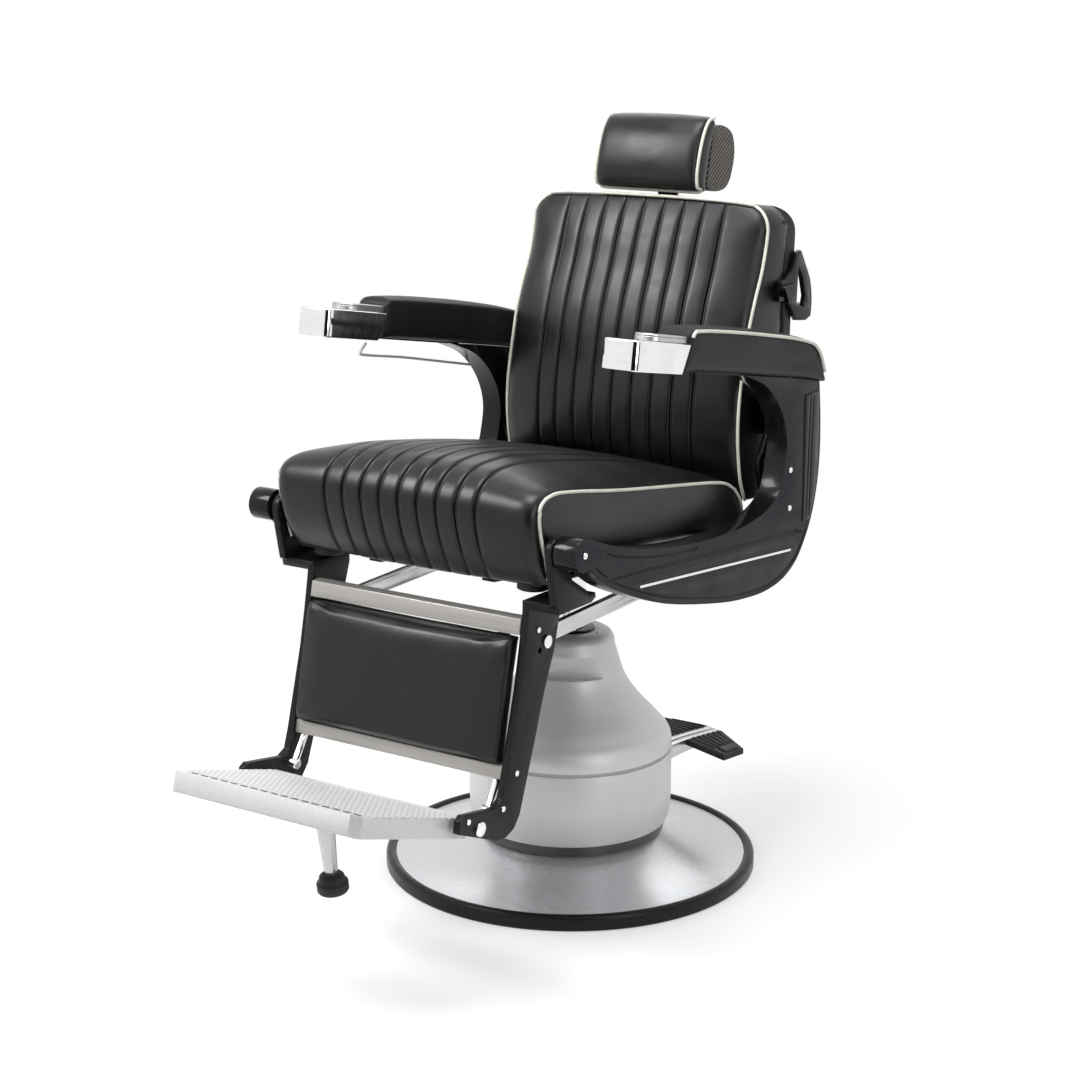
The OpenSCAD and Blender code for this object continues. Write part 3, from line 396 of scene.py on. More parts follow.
def worn_edge(g, given):
    """Marks the outer edges, broken up by small scuffs."""
    bevel = g.add("Bevel", {"Radius": given["Width"]}, samples=4).outputs[0]
    normal = g.add("NewGeometry").outputs["Normal"]
    facing = g.add("VectorMath", {0: bevel, 1: normal}, operation="DOT_PRODUCT").outputs["Value"]
    edge = g.span(facing, 0.985, 0.86)
    scuffs = g.span(g.noise(g.place(), given["Scuffs"], 4.0, 0.65), 0.38, 0.66)
    return {"Mask": g.math("MULTIPLY", edge, scuffs, True)}


def brushed_lines(g, given):
    """Fine parallel lines, drawn long along one direction."""
    spot = g.add("VectorMath", {0: g.place(), 1: given["Stretch"]}, operation="MULTIPLY").outputs[0]
    return {"Height": g.noise(spot, 1.0, 3.0, 0.6)}


def turned_rings(g, given):
    """Fine rings about the column, as left by a lathe."""
    flat = g.add("VectorMath", {0: g.place(), 1: (1, 1, 0)}, operation="MULTIPLY").outputs[0]
    radius = g.add("VectorMath", {0: flat}, operation="LENGTH").outputs["Value"]
    rings = g.add("TexNoise", {"W": g.math("MULTIPLY", radius, given["Rings"]), "Scale": 1.0,
                               "Detail": 3.0}, noise_dimensions="1D")
    return {"Height": rings.outputs[0]}


def cast_skin(g, given):
    """The pebbled skin of a painted sand casting."""
    coarse = g.noise(g.place(), given["Scale"], 3.0, 0.55)
    pits = g.add("TexVoronoi", {"Vector": g.place(), "Scale": given["Pits"]}).outputs["Distance"]
    return {"Height": g.math("ADD", coarse, g.math("MULTIPLY", pits, 0.5)),
            "Tone": g.span(coarse, 0.35, 0.65)}


def settled_dust(g, given):
    """A thin uneven film on what faces up."""
    normal = g.add("NewGeometry").outputs["Normal"]
    up = g.span(g.add("SeparateXYZ", {0: normal}).outputs[2], 0.3, 1.0)
    film = g.span(g.noise(g.place(), given["Scale"], 5.0, 0.7), 0.4, 0.75)
    return {"Mask": g.math("MULTIPLY", up, film, True)}


def relief_mask(g, given):
    """How far a spot is raised along a direction, from nought in the valleys to one on the ridges."""
    height = g.along(given["Direction"])
    share = g.math("DIVIDE", g.math("SUBTRACT", height, given["Low"]), given["Depth"])
    return {"Mask": g.span(share, 0.0, 1.0)}


def slanted_ribs(g, given):
    """Even ribs across a direction: one on a rib's ridge and nought between two ribs."""
    wave = g.math("COSINE", g.math("SUBTRACT", g.along(given["Direction"]), given["Phase"]))
    return {"Mask": g.span(wave, -0.6, 0.6)}


EFFECTS = {name: effect(name, *row) for name, row in {
    "relief mask": ({"Direction": (0.0, 0.0, 1.0), "Low": 0.0, "Depth": 0.002}, ["Mask"], relief_mask),
    "slanted ribs": ({"Direction": (0.0, 0.0, 1.0), "Phase": 0.0}, ["Mask"], slanted_ribs),
    "hide grain": ({"Scale": 620.0, "Fine": 1500.0}, ["Height", "Tone"], hide_grain),
    "handling": ({"Scale": 9.0, "Streaks": 14.0}, ["Mask"], handling),
    "worn edge": ({"Width": 0.0012, "Scuffs": 90.0}, ["Mask"], worn_edge),
    "brushed lines": ({"Stretch": (8.0, 900.0, 900.0)}, ["Height"], brushed_lines),
    "turned rings": ({"Rings": 1400.0}, ["Height"], turned_rings),
    "cast skin": ({"Scale": 420.0, "Pits": 900.0}, ["Height", "Tone"], cast_skin),
    "settled dust": ({"Scale": 24.0}, ["Mask"], settled_dust),
}.items()}


class Finish(Graph):
    """A material on one Principled shader."""

    def __init__(self, name, **sockets):
        """A new material with some sockets of its shader set."""
        self.material = bpy.data.materials.new(name)
        self.material.use_nodes = True
        super().__init__(self.material.node_tree)
        self.shader = self.tree.nodes["Principled BSDF"]
        for label, value in sockets.items():
            self.shader.inputs[label.replace("_", " ")].default_value = value

    def use(self, name, output=0, **values):
        """An output of one of the shared effects, with this finish's own values."""
        node = self.add("Group", node_tree=EFFECTS[name])
        for label, value in values.items():
            node.inputs[label].default_value = value
        return node.outputs[output]

    def feed(self, label, socket):
        """Links a value or colour to the shader."""
        self.tree.links.new(socket, self.shader.inputs[label])

    def bump(self, height, depth, strength):
        """Raises the surface by a depth in millimetres."""
        relief = self.add("Bump", {"Height": height, "Distance": depth * MM, "Strength": strength})
        self.feed("Normal", relief.outputs[0])


def grey(value, red=0.0, blue=0.0):
    """A grey that leans a little to red or blue."""
    return (value + red, value, value + blue, 1.0)


def leather(name="black leather", dark=0.003, light=0.0065, rough=0.33, gloss=0.38):
    """Grained hide with a soft shine."""
    f = Finish(name, Specular_IOR_Level=gloss)
    f.feed("Base Color", f.mix(f.use("hide grain", "Tone"), grey(dark, 0.0, 0.0006),
                               grey(light, 0.0004, 0.001)))
    wear = f.use("handling", Scale=7.0, Streaks=18.0)
    f.feed("Roughness", f.span(wear, 0, 1, rough - 0.05, rough + 0.07))
    f.bump(f.use("hide grain", "Height"), 0.09, 0.28)
    return f.material


def piping_vinyl():
    """Off-white cord cover, a little soiled."""
    f = Finish("off white piping", Specular_IOR_Level=0.45)
    f.feed("Base Color", f.mix(f.use("handling", Scale=40.0, Streaks=60.0), (0.80, 0.77, 0.69, 1),
                               (0.68, 0.65, 0.57, 1)))
    f.feed("Roughness", f.span(f.use("handling", Scale=60.0), 0, 1, 0.4, 0.55))
    f.bump(f.use("hide grain", "Height", Scale=900.0), 0.08, 0.3)
    return f.material


def chrome():
    """Mirror plating with faint smears."""
    f = Finish("chrome", Metallic=1.0)
    smear = f.use("handling", Scale=16.0, Streaks=34.0)
    f.feed("Base Color", f.mix(smear, grey(0.86, -0.005, 0.006), grey(0.78, -0.004, 0.004)))
    f.feed("Roughness", f.span(smear, 0, 1, 0.05, 0.13))
    f.bump(f.noise(f.place(), 30.0, 1.0), 0.25, 0.12)
    return f.material


def bright_steel(name="bright steel", rough=0.24, tone=0.66):
    """Brushed bare steel."""
    f = Finish(name, Metallic=1.0)
    lines = f.use("brushed lines", Stretch=(900.0, 10.0, 900.0))
    f.feed("Base Color", f.mix(f.use("handling"), grey(tone), grey(tone * 0.82)))
    f.feed("Roughness", f.span(lines, 0.3, 0.7, rough - 0.05, rough + 0.09))
    f.bump(lines, 0.03, 0.4)
    return f.material


def inner_steel():
    """Turned and oiled steel inside the base."""
    f = Finish("oiled machine steel", Metallic=0.9)
    f.feed("Base Color", f.mix(f.use("handling", Scale=30.0), grey(0.32), grey(0.22, 0.01)))
    f.feed("Roughness", f.span(f.use("turned rings", Rings=2200.0), 0.3, 0.7, 0.28, 0.42))
    f.bump(f.use("turned rings", Rings=2200.0), 0.03, 0.4)
    return f.material


def silver_paint(name="satin silver covers", tone=0.72):
    """Satin silver paint with a little dust on top."""
    f = Finish(name, Metallic=0.34, Coat_Roughness=0.32, Specular_IOR_Level=0.4)
    film = f.use("settled dust", Scale=18.0)
    base = f.mix(f.use("handling", Scale=6.0, Streaks=5.0), grey(tone, 0.0, 0.004),
                 grey(tone * 0.93, 0.0, 0.004))
    f.feed("Base Color", f.mix(f.math("MULTIPLY", film, 0.12), base, grey(tone * 0.84)))
    f.feed("Roughness", f.span(f.use("cast skin", "Tone", Scale=2600.0), 0, 1, 0.42, 0.52))
    f.feed("Coat Weight", f.span(f.use("handling", Scale=11.0), 0, 1, 0.22, 0.1))
    f.bump(f.use("cast skin", "Height", Scale=3200.0, Pits=4200.0), 0.02, 0.4)
    return f.material


def spun_disc():
    """Polished sheet with the fine rings of its spinning."""
    f = Finish("spun polished disc", Metallic=0.62)
    rings = f.use("turned rings", Rings=2600.0)
    dust = f.use("settled dust", Scale=12.0)
    base = f.mix(f.span(rings, 0.35, 0.65), grey(0.64, -0.016, 0.014), grey(0.69, -0.014, 0.014))
    f.feed("Base Color", f.mix(f.math("MULTIPLY", dust, 0.08), base, grey(0.58)))
    dull = f.math("ADD", rings, f.math("MULTIPLY", dust, 0.3))
    f.feed("Roughness", f.span(dull, 0.3, 1.0, 0.24, 0.33))
    f.bump(rings, 0.008, 0.2)
    return f.material


def ring_rubber():
    """Smooth rubber round the base, scuffed at its edges."""
    f = Finish("base ring rubber", Specular_IOR_Level=0.2)
    scuffs = f.use("worn edge", Width=0.002, Scuffs=60.0)
    base = f.mix(f.use("handling", Scale=12.0), (0.008, 0.007, 0.006, 1), (0.014, 0.012, 0.011, 1))
    f.feed("Base Color", f.mix(f.math("MULTIPLY", scuffs, 0.4), base, grey(0.04, 0.003)))
    f.feed("Roughness", f.span(f.use("handling", Scale=20.0), 0, 1, 0.26, 0.42))
    f.bump(f.use("cast skin", "Height", Scale=900.0), 0.04, 0.3)
    return f.material


def pad_rubber():
    """Dull rubber of pads, bumpers and foot, dusty on top."""
    f = Finish("ribbed black rubber", Specular_IOR_Level=0.35)
    scuffs = f.use("worn edge", Width=0.001, Scuffs=120.0)
    base = f.mix(f.use("settled dust", Scale=40.0), grey(0.012, 0.001), grey(0.024, 0.002))
    f.feed("Base Color", f.mix(f.math("MULTIPLY", scuffs, 0.5), base, grey(0.07, 0.004)))
    f.feed("Roughness", f.span(f.use("handling", Scale=26.0), 0, 1, 0.48, 0.66))
    f.bump(f.use("cast skin", "Height", Scale=1500.0), 0.05, 0.35)
    return f.material


def gloss_enamel(name="black gloss enamel", rough=0.16, wear=0.35):
    """Smooth black enamel, chipped at its edges, with a painted highlight along them."""
    f = Finish(name, Specular_IOR_Level=0.16, Coat_Roughness=0.1)
    chips_and_edge_highlight = f.use("worn edge", Width=0.0012, Scuffs=70.0)
    base = f.mix(f.use("handling", Scale=8.0), grey(0.006, 0.0, 0.001), grey(0.010, 0.0, 0.001))
    # The lighter edges are partly chips and partly a painted highlight.
    f.feed("Base Color", f.mix(f.math("MULTIPLY", chips_and_edge_highlight, wear), base, grey(0.09)))
    f.feed("Roughness", f.span(f.use("handling", Scale=15.0), 0, 1, rough, rough + 0.1))
    f.feed("Coat Weight", f.span(f.use("handling", Scale=5.0), 0, 1, 0.16, 0.08))
    f.bump(f.use("cast skin", "Height", Scale=160.0, Pits=400.0), 0.05, 0.25)
    return f.material


def charcoal_casting():
    """Hammered charcoal paint on the outside of the side frames."""
    f = Finish("charcoal hammered casting", Metallic=0.1, Specular_IOR_Level=0.16)
    chips_and_edge_highlight = f.use("worn edge", Width=0.0012, Scuffs=60.0)
    base = f.mix(f.use("cast skin", "Tone", Scale=700.0, Pits=1400.0), (0.010, 0.010, 0.014, 1),
                 (0.024, 0.024, 0.031, 1))
    # The lighter edges are partly chips and partly a painted highlight.
    f.feed("Base Color", f.mix(f.math("MULTIPLY", chips_and_edge_highlight, 0.5), base, grey(0.16, 0.0, 0.01)))
    f.feed("Roughness", f.span(f.use("handling", Scale=12.0), 0, 1, 0.4, 0.52))
    f.bump(f.use("cast skin", "Height", Scale=700.0, Pits=1400.0), 0.12, 0.45)
    return f.material


def wrinkle_enamel():
    """Uneven black enamel on brackets and levers."""
    f = Finish("black bracket enamel", Specular_IOR_Level=0.18)
    chips_and_edge_highlight = f.use("worn edge", Width=0.0014, Scuffs=70.0)
    base = f.mix(f.use("cast skin", "Tone", Scale=420.0), grey(0.007), grey(0.014))
    # The lighter edges are partly chips and partly a painted highlight.
    f.feed("Base Color", f.mix(f.math("MULTIPLY", chips_and_edge_highlight, 0.4), base, grey(0.11)))
    f.feed("Roughness", f.span(f.use("handling", Scale=14.0), 0, 1, 0.26, 0.42))
    f.bump(f.use("cast skin", "Height", Scale=420.0, Pits=800.0), 0.22, 0.5)
    return f.material


def rail_metal():
    """Warm grey drawn metal of the legrest's rails."""
    f = Finish("warm grey rails", Metallic=0.55)
    lines = f.use("brushed lines", Stretch=(6.0, 800.0, 800.0))
    f.feed("Base Color", f.mix(f.span(lines, 0.35, 0.65), (0.40, 0.385, 0.36, 1), (0.50, 0.48, 0.45, 1)))
    f.feed("Roughness", f.span(f.use("handling", Scale=10.0), 0, 1, 0.36, 0.48))
    f.bump(lines, 0.03, 0.4)
    return f.material


def cast_aluminium(name="cast aluminium", tone=0.72, rough=0.4, metallic=0.35, valleys=None):
    """Bare casting, bright where it is worn; when valleys are given, they get painted shade."""
    f = Finish(name, Metallic=metallic)
    worn = f.use("worn edge", Width=0.001, Scuffs=160.0)
    base = f.mix(f.use("cast skin", "Tone", Scale=300.0), grey(tone, 0.004), grey(tone * 0.9, 0.002))
    if valleys:
        # Painted shade: the relief's valleys are darkened towards 0.42 of the tone.
        base = f.mix(f.use("relief mask", **valleys), grey(tone * 0.42), base)
    f.feed("Base Color", f.mix(f.math("MULTIPLY", worn, 0.5), base, grey(0.86)))
    f.feed("Roughness", f.span(f.use("handling", Scale=18.0), 0, 1, rough - 0.06, rough + 0.08))
    f.bump(f.use("cast skin", "Height", Scale=800.0, Pits=1800.0), 0.08, 0.4)
    return f.material


def stained_ply():
    """Black stained plywood with its grain."""
    f = Finish("black stained plywood", Specular_IOR_Level=0.3)
    lines = f.use("brushed lines", Stretch=(6.0, 240.0, 900.0))
    f.feed("Base Color", f.mix(f.span(lines, 0.3, 0.7), grey(0.012, 0.002), grey(0.022, 0.004)))
    f.feed("Roughness", f.span(lines, 0.3, 0.7, 0.55, 0.72))
    f.bump(lines, 0.06, 0.5)
    return f.material


RIB_PITCH = 6.6
RIB_CENTRE = (318.0, 1177.0)
RIB_TURN = math.radians(36)
RIB_WAY = (math.cos(RIB_TURN), math.sin(RIB_TURN))


def head_rubber():
    """Grey brown rubber, with dark stripes as painted shade in the sunk lines between its ribs."""
    f = Finish("grey brown headrest rubber", Specular_IOR_Level=0.4)
    base = f.mix(f.use("cast skin", "Tone", Scale=200.0), (0.16, 0.145, 0.13, 1), (0.23, 0.21, 0.19, 1))
    turn = 2 * math.pi / (RIB_PITCH * MM)
    way = (0.0, -RIB_WAY[1] * turn, RIB_WAY[0] * turn)
    phase = turn * MM * (RIB_CENTRE[1] * RIB_WAY[0] - RIB_CENTRE[0] * RIB_WAY[1])
    ribs = f.use("slanted ribs", Direction=way, Phase=phase)
    # Painted shade: the rib mask puts the dark colour into the sunk lines between the ribs.
    f.feed("Base Color", f.mix(ribs, base, (0.026, 0.023, 0.021, 1)))
    f.feed("Roughness", f.span(f.use("handling", Scale=20.0), 0, 1, 0.42, 0.56))
    f.bump(f.use("cast skin", "Height", Scale=1300.0), 0.05, 0.35)
    return f.material


LEATHER = leather()
ARM_LEATHER = leather("dark grey arm leather", 0.006, 0.011, 0.48, 0.24)
SHELL_COVER = leather("back cover leather", 0.0035, 0.0075, 0.42, 0.3)
PIPING = piping_vinyl()
CHROME = chrome()
BRIGHT = bright_steel()
LID = bright_steel("tongue lid metal", 0.34, 0.55)
PEDAL_METAL = bright_steel("pedal lever metal", 0.3, 0.6)
STEEL = inner_steel()
SILVER = silver_paint()
WIRE = silver_paint("bright wire", 0.85)
SEAM_BAND = silver_paint("dark silver seam band", 0.4)
DISC = spun_disc()
RING = ring_rubber()
RUBBER = pad_rubber()
GLOSS = gloss_enamel()
TRIM = gloss_enamel("black trim strip", 0.28, 0.2)
# A duller enamel for the side frames' grooves: painted shade in them.
GROOVE_SHADE_ENAMEL = gloss_enamel("groove painted shade enamel", 0.5, 0.1)
CHARCOAL = charcoal_casting()
BRACKET = wrinkle_enamel()
RAIL = rail_metal()
TREAD = cast_aluminium(tone=0.74, metallic=0.15)
TREAD_LOW, TREAD_TOP = 10.5, 13.0
PLATE_UP = (0.0, -math.sin(PLATE_SLOPE), math.cos(PLATE_SLOPE))
PLATE_LEVEL = (PLATE_HINGE[1] * PLATE_UP[1] + PLATE_HINGE[2] * PLATE_UP[2]) * MM
# The ridged tread gets painted shade in the valleys between its ridges.
RIDGES = cast_aluminium("ridged tread aluminium", 0.84, metallic=0.15,
                        valleys={"Direction": PLATE_UP, "Low": PLATE_LEVEL + (TREAD_LOW - 0.2) * MM,
                                 "Depth": (TREAD_TOP - TREAD_LOW - 0.3) * MM})
# Near-black steel for the gap ring: painted shade in the gap it sits in.
GAP_SHADE_STEEL = bright_steel("gap ring painted shade steel", 0.34, 0.12)
LEG_METAL = cast_aluminium("prop leg aluminium", 0.6, 0.3, 0.8)
CAST = cast_aluminium("grey cast iron", 0.16, 0.5, 0.4)
PLY = stained_ply()
HEAD_RUBBER = head_rubber()

# ---- Hard pieces whose shape stays: finish and the rounding of their edges ----
HARD = {
    # gap_ring: its near-black steel is painted shade in the gap.
    "base_ring": (RING, 1.0), "base_plate": (CAST, 0), "base_disc": (DISC, 0), "gap_ring": (GAP_SHADE_STEEL, 0.6),
    "drum_cover_left": (SILVER, 1.2), "drum_cover_right": (SILVER, 1.2), "seam_ring": (SEAM_BAND, 0),
    "bell_cover": (SILVER, 1.2), "bell_cap": (TRIM, 0.6), "cylinder_tube": (STEEL, 0),
    "pump_block": (CAST, 0), "pump_plunger": (STEEL, 0), "pedal_shaft": (STEEL, 0.5),
    "base_bolts": (STEEL, 0), "pump_lever": (PEDAL_METAL, 1.4), "release_lever": (PEDAL_METAL, 1.4),
    "ram": (CHROME, 0), "ram_piston": (STEEL, 0), "swivel_hub": (BRACKET, 1.0),
    "seat_frame": (BRACKET, 1.5), "seat_pan": (PLY, 1.0), "seat_bumpers": (RUBBER, 1.5),
    "frame_trims": (TRIM, 0.5), "chrome_inlays": (CHROME, 0.3), "frame_screws": (CHROME, 0.5),
    "pivot_pins": (BRACKET, 0.8),
    "recline_lever": (WIRE, 0), "recline_stud": (BRIGHT, 0.6),
    "back_lever_left": (BRACKET, 1.2), "back_lever_right": (BRACKET, 1.2), "link_shaft": (BRIGHT, 0.6),
    "headrest_socket": (CAST, 1.2), "back_handles": (GLOSS, 1.4), "clamp_knob": (TRIM, 1.4),
    "headrest_post": (CHROME, 0.8), "headrest_bracket": (BRIGHT, 0.6),
    "legrest_bracket_left": (BRACKET, 3.5), "legrest_bracket_right": (BRACKET, 3.5),
    "legrest_rails": (RAIL, 1.2), "legrest_struts": (CHROME, 0.8), "legrest_screws": (CHROME, 0.6),
    "link_bars": (BRIGHT, 0.8), "prop_leg": (LEG_METAL, 1.0), "prop_foot": (RUBBER, 0.8),
}
BOARD_CORNER = 32.0


def back_board():
    """The board in the padded back. Its top corners are rounded, so that they stay inside the cover."""
    made = copy_of("back_board")
    shape = joined_faces(made)
    side, top = high("back_board")[0] - 1, high("back_board")[2] - 6
    corners = [e for e in shape.edges
               if all(abs(v.co.x) > side * MM and v.co.z > top * MM for v in e.verts)]
    bevel(shape, corners, BOARD_CORNER, 8)
    to_mesh(shape, made)
    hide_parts("back_board")
    finished(made, PLY, body_of("back_board"))


def hard_pieces():
    """Gives every hard node its finish, on its own mesh or on a form with rounded edges."""
    for node, (finish, width) in HARD.items():
        if width:
            finished(form_of(node, width), finish, body_of(node))
        else:
            painted(nodes[node], finish)


# ---- Cushions ----
BELTS = 5
FILL_FRAMES = 20
FILL_PRESSURE = 4.0


class Cushion:
    """A closed cover: a face and a base, grids of points by column and row, with a boxing wall round
    their edge. The face's columns and rows keep their places, so seams and piping can follow them."""

    def __init__(self, name, face, base, swell, reach=3.0, place=None):
        """Builds the cover. Its wall swells out, and filling it moves no point beyond the reach."""
        self.reach, self.place = reach, place
        self.columns, self.rows = face.shape[:2]
        last_c, last_r = self.columns - 1, self.rows - 1
        self.edge = ([(i, 0) for i in range(self.columns)] + [(last_c, j) for j in range(1, self.rows)]
                     + [(i, last_r) for i in range(last_c - 1, -1, -1)]
                     + [(0, j) for j in range(last_r - 1, 0, -1)])
        ends = np.array([face[i, j] for i, j in self.edge])
        feet = np.array([base[i, j] for i, j in self.edge])
        up = unit(ends - feet)
        way = unit(np.roll(ends, -1, 0) - np.roll(ends, 1, 0))
        out = unit(np.cross(way, up))
        middle = face.reshape(-1, 3).mean(0)
        if ((ends - middle) * out).sum() < 0:
            out = -out
        self.rim, self.out, self.up = ends, out, up
        self.rim_place = {spot: k for k, spot in enumerate(self.edge)}
        points = list(face.reshape(-1, 3))
        faces = []
        for i in range(last_c):
            for j in range(last_r):
                a = i * self.rows + j
                faces.append((a, a + 1, a + self.rows + 1, a + self.rows))
        ring = [i * self.rows + j for i, j in self.edge]
        for k in range(1, BELTS + 1):
            t = k / BELTS
            belly = swell * math.sin(math.pi * t) if k < BELTS else 0.0
            points += list(ends * (1 - t) + feet * t + out * belly)
            start = len(points) - len(ends)
            new = list(range(start, len(points)))
            for n in range(len(ring)):
                m = (n + 1) % len(ring)
                faces.append((ring[n], ring[m], new[m], new[n]))
            ring = new
        faces.append(ring)
        self.made = piece(name, points, faces, place, 180)
        self.cut_base()
        self.sewn = {i * self.rows + j for i, j in self.edge} | set(ring)

    def cut_base(self):
        """Cuts the flat underside into triangles."""
        shape = bmesh.new()
        shape.from_mesh(self.made.data)
        wide = [f for f in shape.faces if len(f.verts) > 4]
        bmesh.ops.triangulate(shape, faces=wide)
        shape.to_mesh(self.made.data)
        shape.free()

    def sew(self, columns):
        """Holds whole columns of the face while the cover is filled."""
        self.sewn |= {i * self.rows + j for i in columns for j in range(self.rows)}

    def column_run(self, column, first=0, spared=0):
        """Indices on the rim along an outer column, with some rows spared at its ends."""
        return [self.rim_place[(column, j)] for j in range(first, self.rows - spared)]

    def row_run(self, row):
        """Indices on the rim along an outer row."""
        return [self.rim_place[(i, row)] for i in range(self.columns)]


def inflate(cushions):
    """Fills the covers by cloth simulation, with their seams and piping held."""
    held = []
    scene = bpy.context.scene
    for cushion in cushions:
        made = cushion.made
        group = made.vertex_groups.new(name="sewn")
        group.add(sorted(cushion.sewn), 1.0, "REPLACE")
        cloth = made.modifiers.new("filling", "CLOTH")
        settings = cloth.settings
        settings.quality = 6
        settings.mass = 0.35
        settings.tension_stiffness = settings.compression_stiffness = 22
        settings.shear_stiffness = 12
        settings.bending_stiffness = 1.5
        settings.use_pressure = True
        settings.uniform_pressure_force = FILL_PRESSURE
        settings.vertex_group_mass = "sewn"
        settings.effector_weights.gravity = 0
        cloth.collision_settings.use_collision = False
        cloth.point_cache.frame_start = 1
        cloth.point_cache.frame_end = FILL_FRAMES
        held.append(np.array([v.co for v in made.data.vertices]))
    for step in range(1, FILL_FRAMES + 1):
        scene.frame_set(step)
    graph = bpy.context.evaluated_depsgraph_get()
    for cushion, start in zip(cushions, held):
        made, reach = cushion.made, cushion.reach
        moved = np.array([v.co for v in made.evaluated_get(graph).data.vertices]) - start
        far = np.linalg.norm(moved, axis=1, keepdims=True)
        moved *= np.minimum(1, reach * MM / np.maximum(far, 1e-9))
        made.modifiers.clear()
        made.vertex_groups.clear()
        made.data.vertices.foreach_set("co", (start + moved).astype(np.float32).ravel())
        made.data.update()
    scene.frame_set(1)


def normals_of(mesh):
    """The normals at a mesh's points."""
    found = np.zeros(len(mesh.vertices) * 3, np.float32)
    mesh.vertex_normals.foreach_get("vector", found)
    return found.reshape(-1, 3)


def moved_along_normals(made, depth):
    """Moves each point by its own depth in millimetres, inward when it is above nought."""
    mesh = made.data
    spots = np.array([v.co for v in mesh.vertices])
    spots -= normals_of(mesh) * depth[:, None] * MM
    mesh.vertices.foreach_set("co", spots.astype(np.float32).ravel())
    mesh.update()


CHANNEL_DEPTH, CHANNEL_HALF = 5.6, 1.5
STITCH_DEPTH, STITCH_HALF, STITCH_AWAY = 1.3, 0.8, 5.2
CHANNEL_REACH = 9.0
CHANNEL_ENDS, CHANNEL_END_SHARE = 5, 0.45


def sewn_profile(offset):
    """Depth of a sewn flute at a distance beside its seam: the channel and the tuck's stitch line."""
    channel = CHANNEL_DEPTH * math.exp(-(abs(offset) / CHANNEL_HALF) ** 1.7)
    tuck = STITCH_DEPTH * math.exp(-((offset - STITCH_AWAY) / STITCH_HALF) ** 2)
    return channel + tuck


def flute(cushion):
    """Draws the sewn channels in, fading at both ends of the face."""
    depth = np.zeros(len(cushion.made.data.vertices))
    for i, x in enumerate(cushion.xs):
        near = [sewn_profile(x - s) for s in cushion.seams if abs(x - s) < CHANNEL_REACH]
        for j in range(cushion.rows):
            end = min(j, cushion.rows - 1 - j) / CHANNEL_ENDS
            share = CHANNEL_END_SHARE + (1 - CHANNEL_END_SHARE) * end
            depth[i * cushion.rows + j] = sum(near) * min(1, share)
    moved_along_normals(cushion.made, depth)


def ripple(cushion, height, size, stretch, seed):
    """Low uneven waves of hand-fitted leather on the free part of the cover."""
    mesh = cushion.made.data
    depth = np.zeros(len(mesh.vertices))
    for v in mesh.vertices:
        if v.index not in cushion.sewn:
            spot = Vector([c / size / MM * s for c, s in zip(v.co, stretch)]) + Vector((seed,) * 3)
            depth[v.index] = height * (noise.noise(spot) + 0.5 * noise.noise(spot * 2.3))
    moved_along_normals(cushion.made, depth)


def subdivided(made):
    """Doubles a piece's mesh and smooths it."""
    levels = made.modifiers.new("subdivision", "SUBSURF")
    levels.levels = levels.render_levels = 1
    levels.subdivision_type = "CATMULL_CLARK"
    baked(made)
    made.data.shade_smooth()


def fade(u):
    """The crown across a cushion: one at its middle and nought at its edges."""
    return 1 - abs(u) ** 2.6


def shoulder(inset, width):
    """How far the cover has come out of its edge seam, at a distance in from the edge."""
    return math.sqrt(max(0.0, 1 - (1 - min(inset, width) / width) ** 2))


def round_top(half, top, corner):
    """Half the width of a panel with round top corners, at a spot in Y and Z."""
    def narrow(spot):
        """Half the width at a spot's height."""
        over = max(0.0, spot[1] - (top - corner))
        return half - corner + math.sqrt(max(corner ** 2 - over ** 2, 0))
    return narrow


def profile_cushion(name, side, rise, base_ends, half, columns, swell, narrow=None, tuck=3.0, width=9.0,
                    spread=0.0, **more):
    """A cushion whose face runs along a profile in Y and Z, crowned across its width. Its edge seam
    is tucked in, so that the cover rises from it in a round shoulder."""
    side, rise = np.asarray(side, float), np.asarray(rise, float)
    along = unit(np.gradient(side, axis=0))
    outward = np.stack([along[:, 1], -along[:, 0]], 1)
    if ((side - side.mean(0)) * outward).sum() < 0:
        outward = -outward
    count = len(side)
    tuck = np.broadcast_to(np.asarray(tuck, float), count)
    side = side - outward * tuck[:, None]
    length = np.concatenate([[0], np.cumsum(np.linalg.norm(np.diff(side, axis=0), axis=1))])
    share = (length / length[-1])[:, None]
    foot = np.asarray(base_ends[0]) * (1 - share) + np.asarray(base_ends[1]) * share
    face = np.zeros((len(columns), count, 3))
    base = np.zeros_like(face)
    for i, x in enumerate(columns):
        for j in range(count):
            wide = narrow(side[j]) if narrow else half
            inner = 0.7 * half
            edge = x if abs(x) <= inner else math.copysign(
                inner + (abs(x) - inner) * (wide - inner) / (half - inner), x)
            out = tuck[j] * shoulder(half - abs(x), width)
            spot = side[j] + rise[j] * fade(x / half) + outward[j] * out
            face[i, j] = (edge, *spot)
            base[i, j] = (edge * (1 + spread / half), *foot[j])
    return Cushion(name, face, base, swell, **more)


SEAM_COLUMNS = (0, 0.8, 1.9, 3.3, 4.4, 5.2, 6.0, 7.6)


def flute_columns(half, pitch):
    """Columns across a fluted face: close beside each seam, wide between."""
    between = [share * pitch for share in (0.34, 0.52, 0.7, 0.86)]
    beside = [*SEAM_COLUMNS, *between, pitch - 1.9, pitch - 0.8]
    start = -FLUTES / 2 * pitch
    inner = [start + k * pitch + b for k in range(FLUTES) for b in beside]
    inner += [-start + b for b in SEAM_COLUMNS]
    left = [start - b for b in (0.8, 1.9, 6.0)]
    outer = [-half + (half + start - 18) * (k / 11) ** 1.7 for k in range(12)]
    right = [-x for x in outer if -x > inner[-1] + 4]
    return sorted([*outer, *left, *inner, *right])


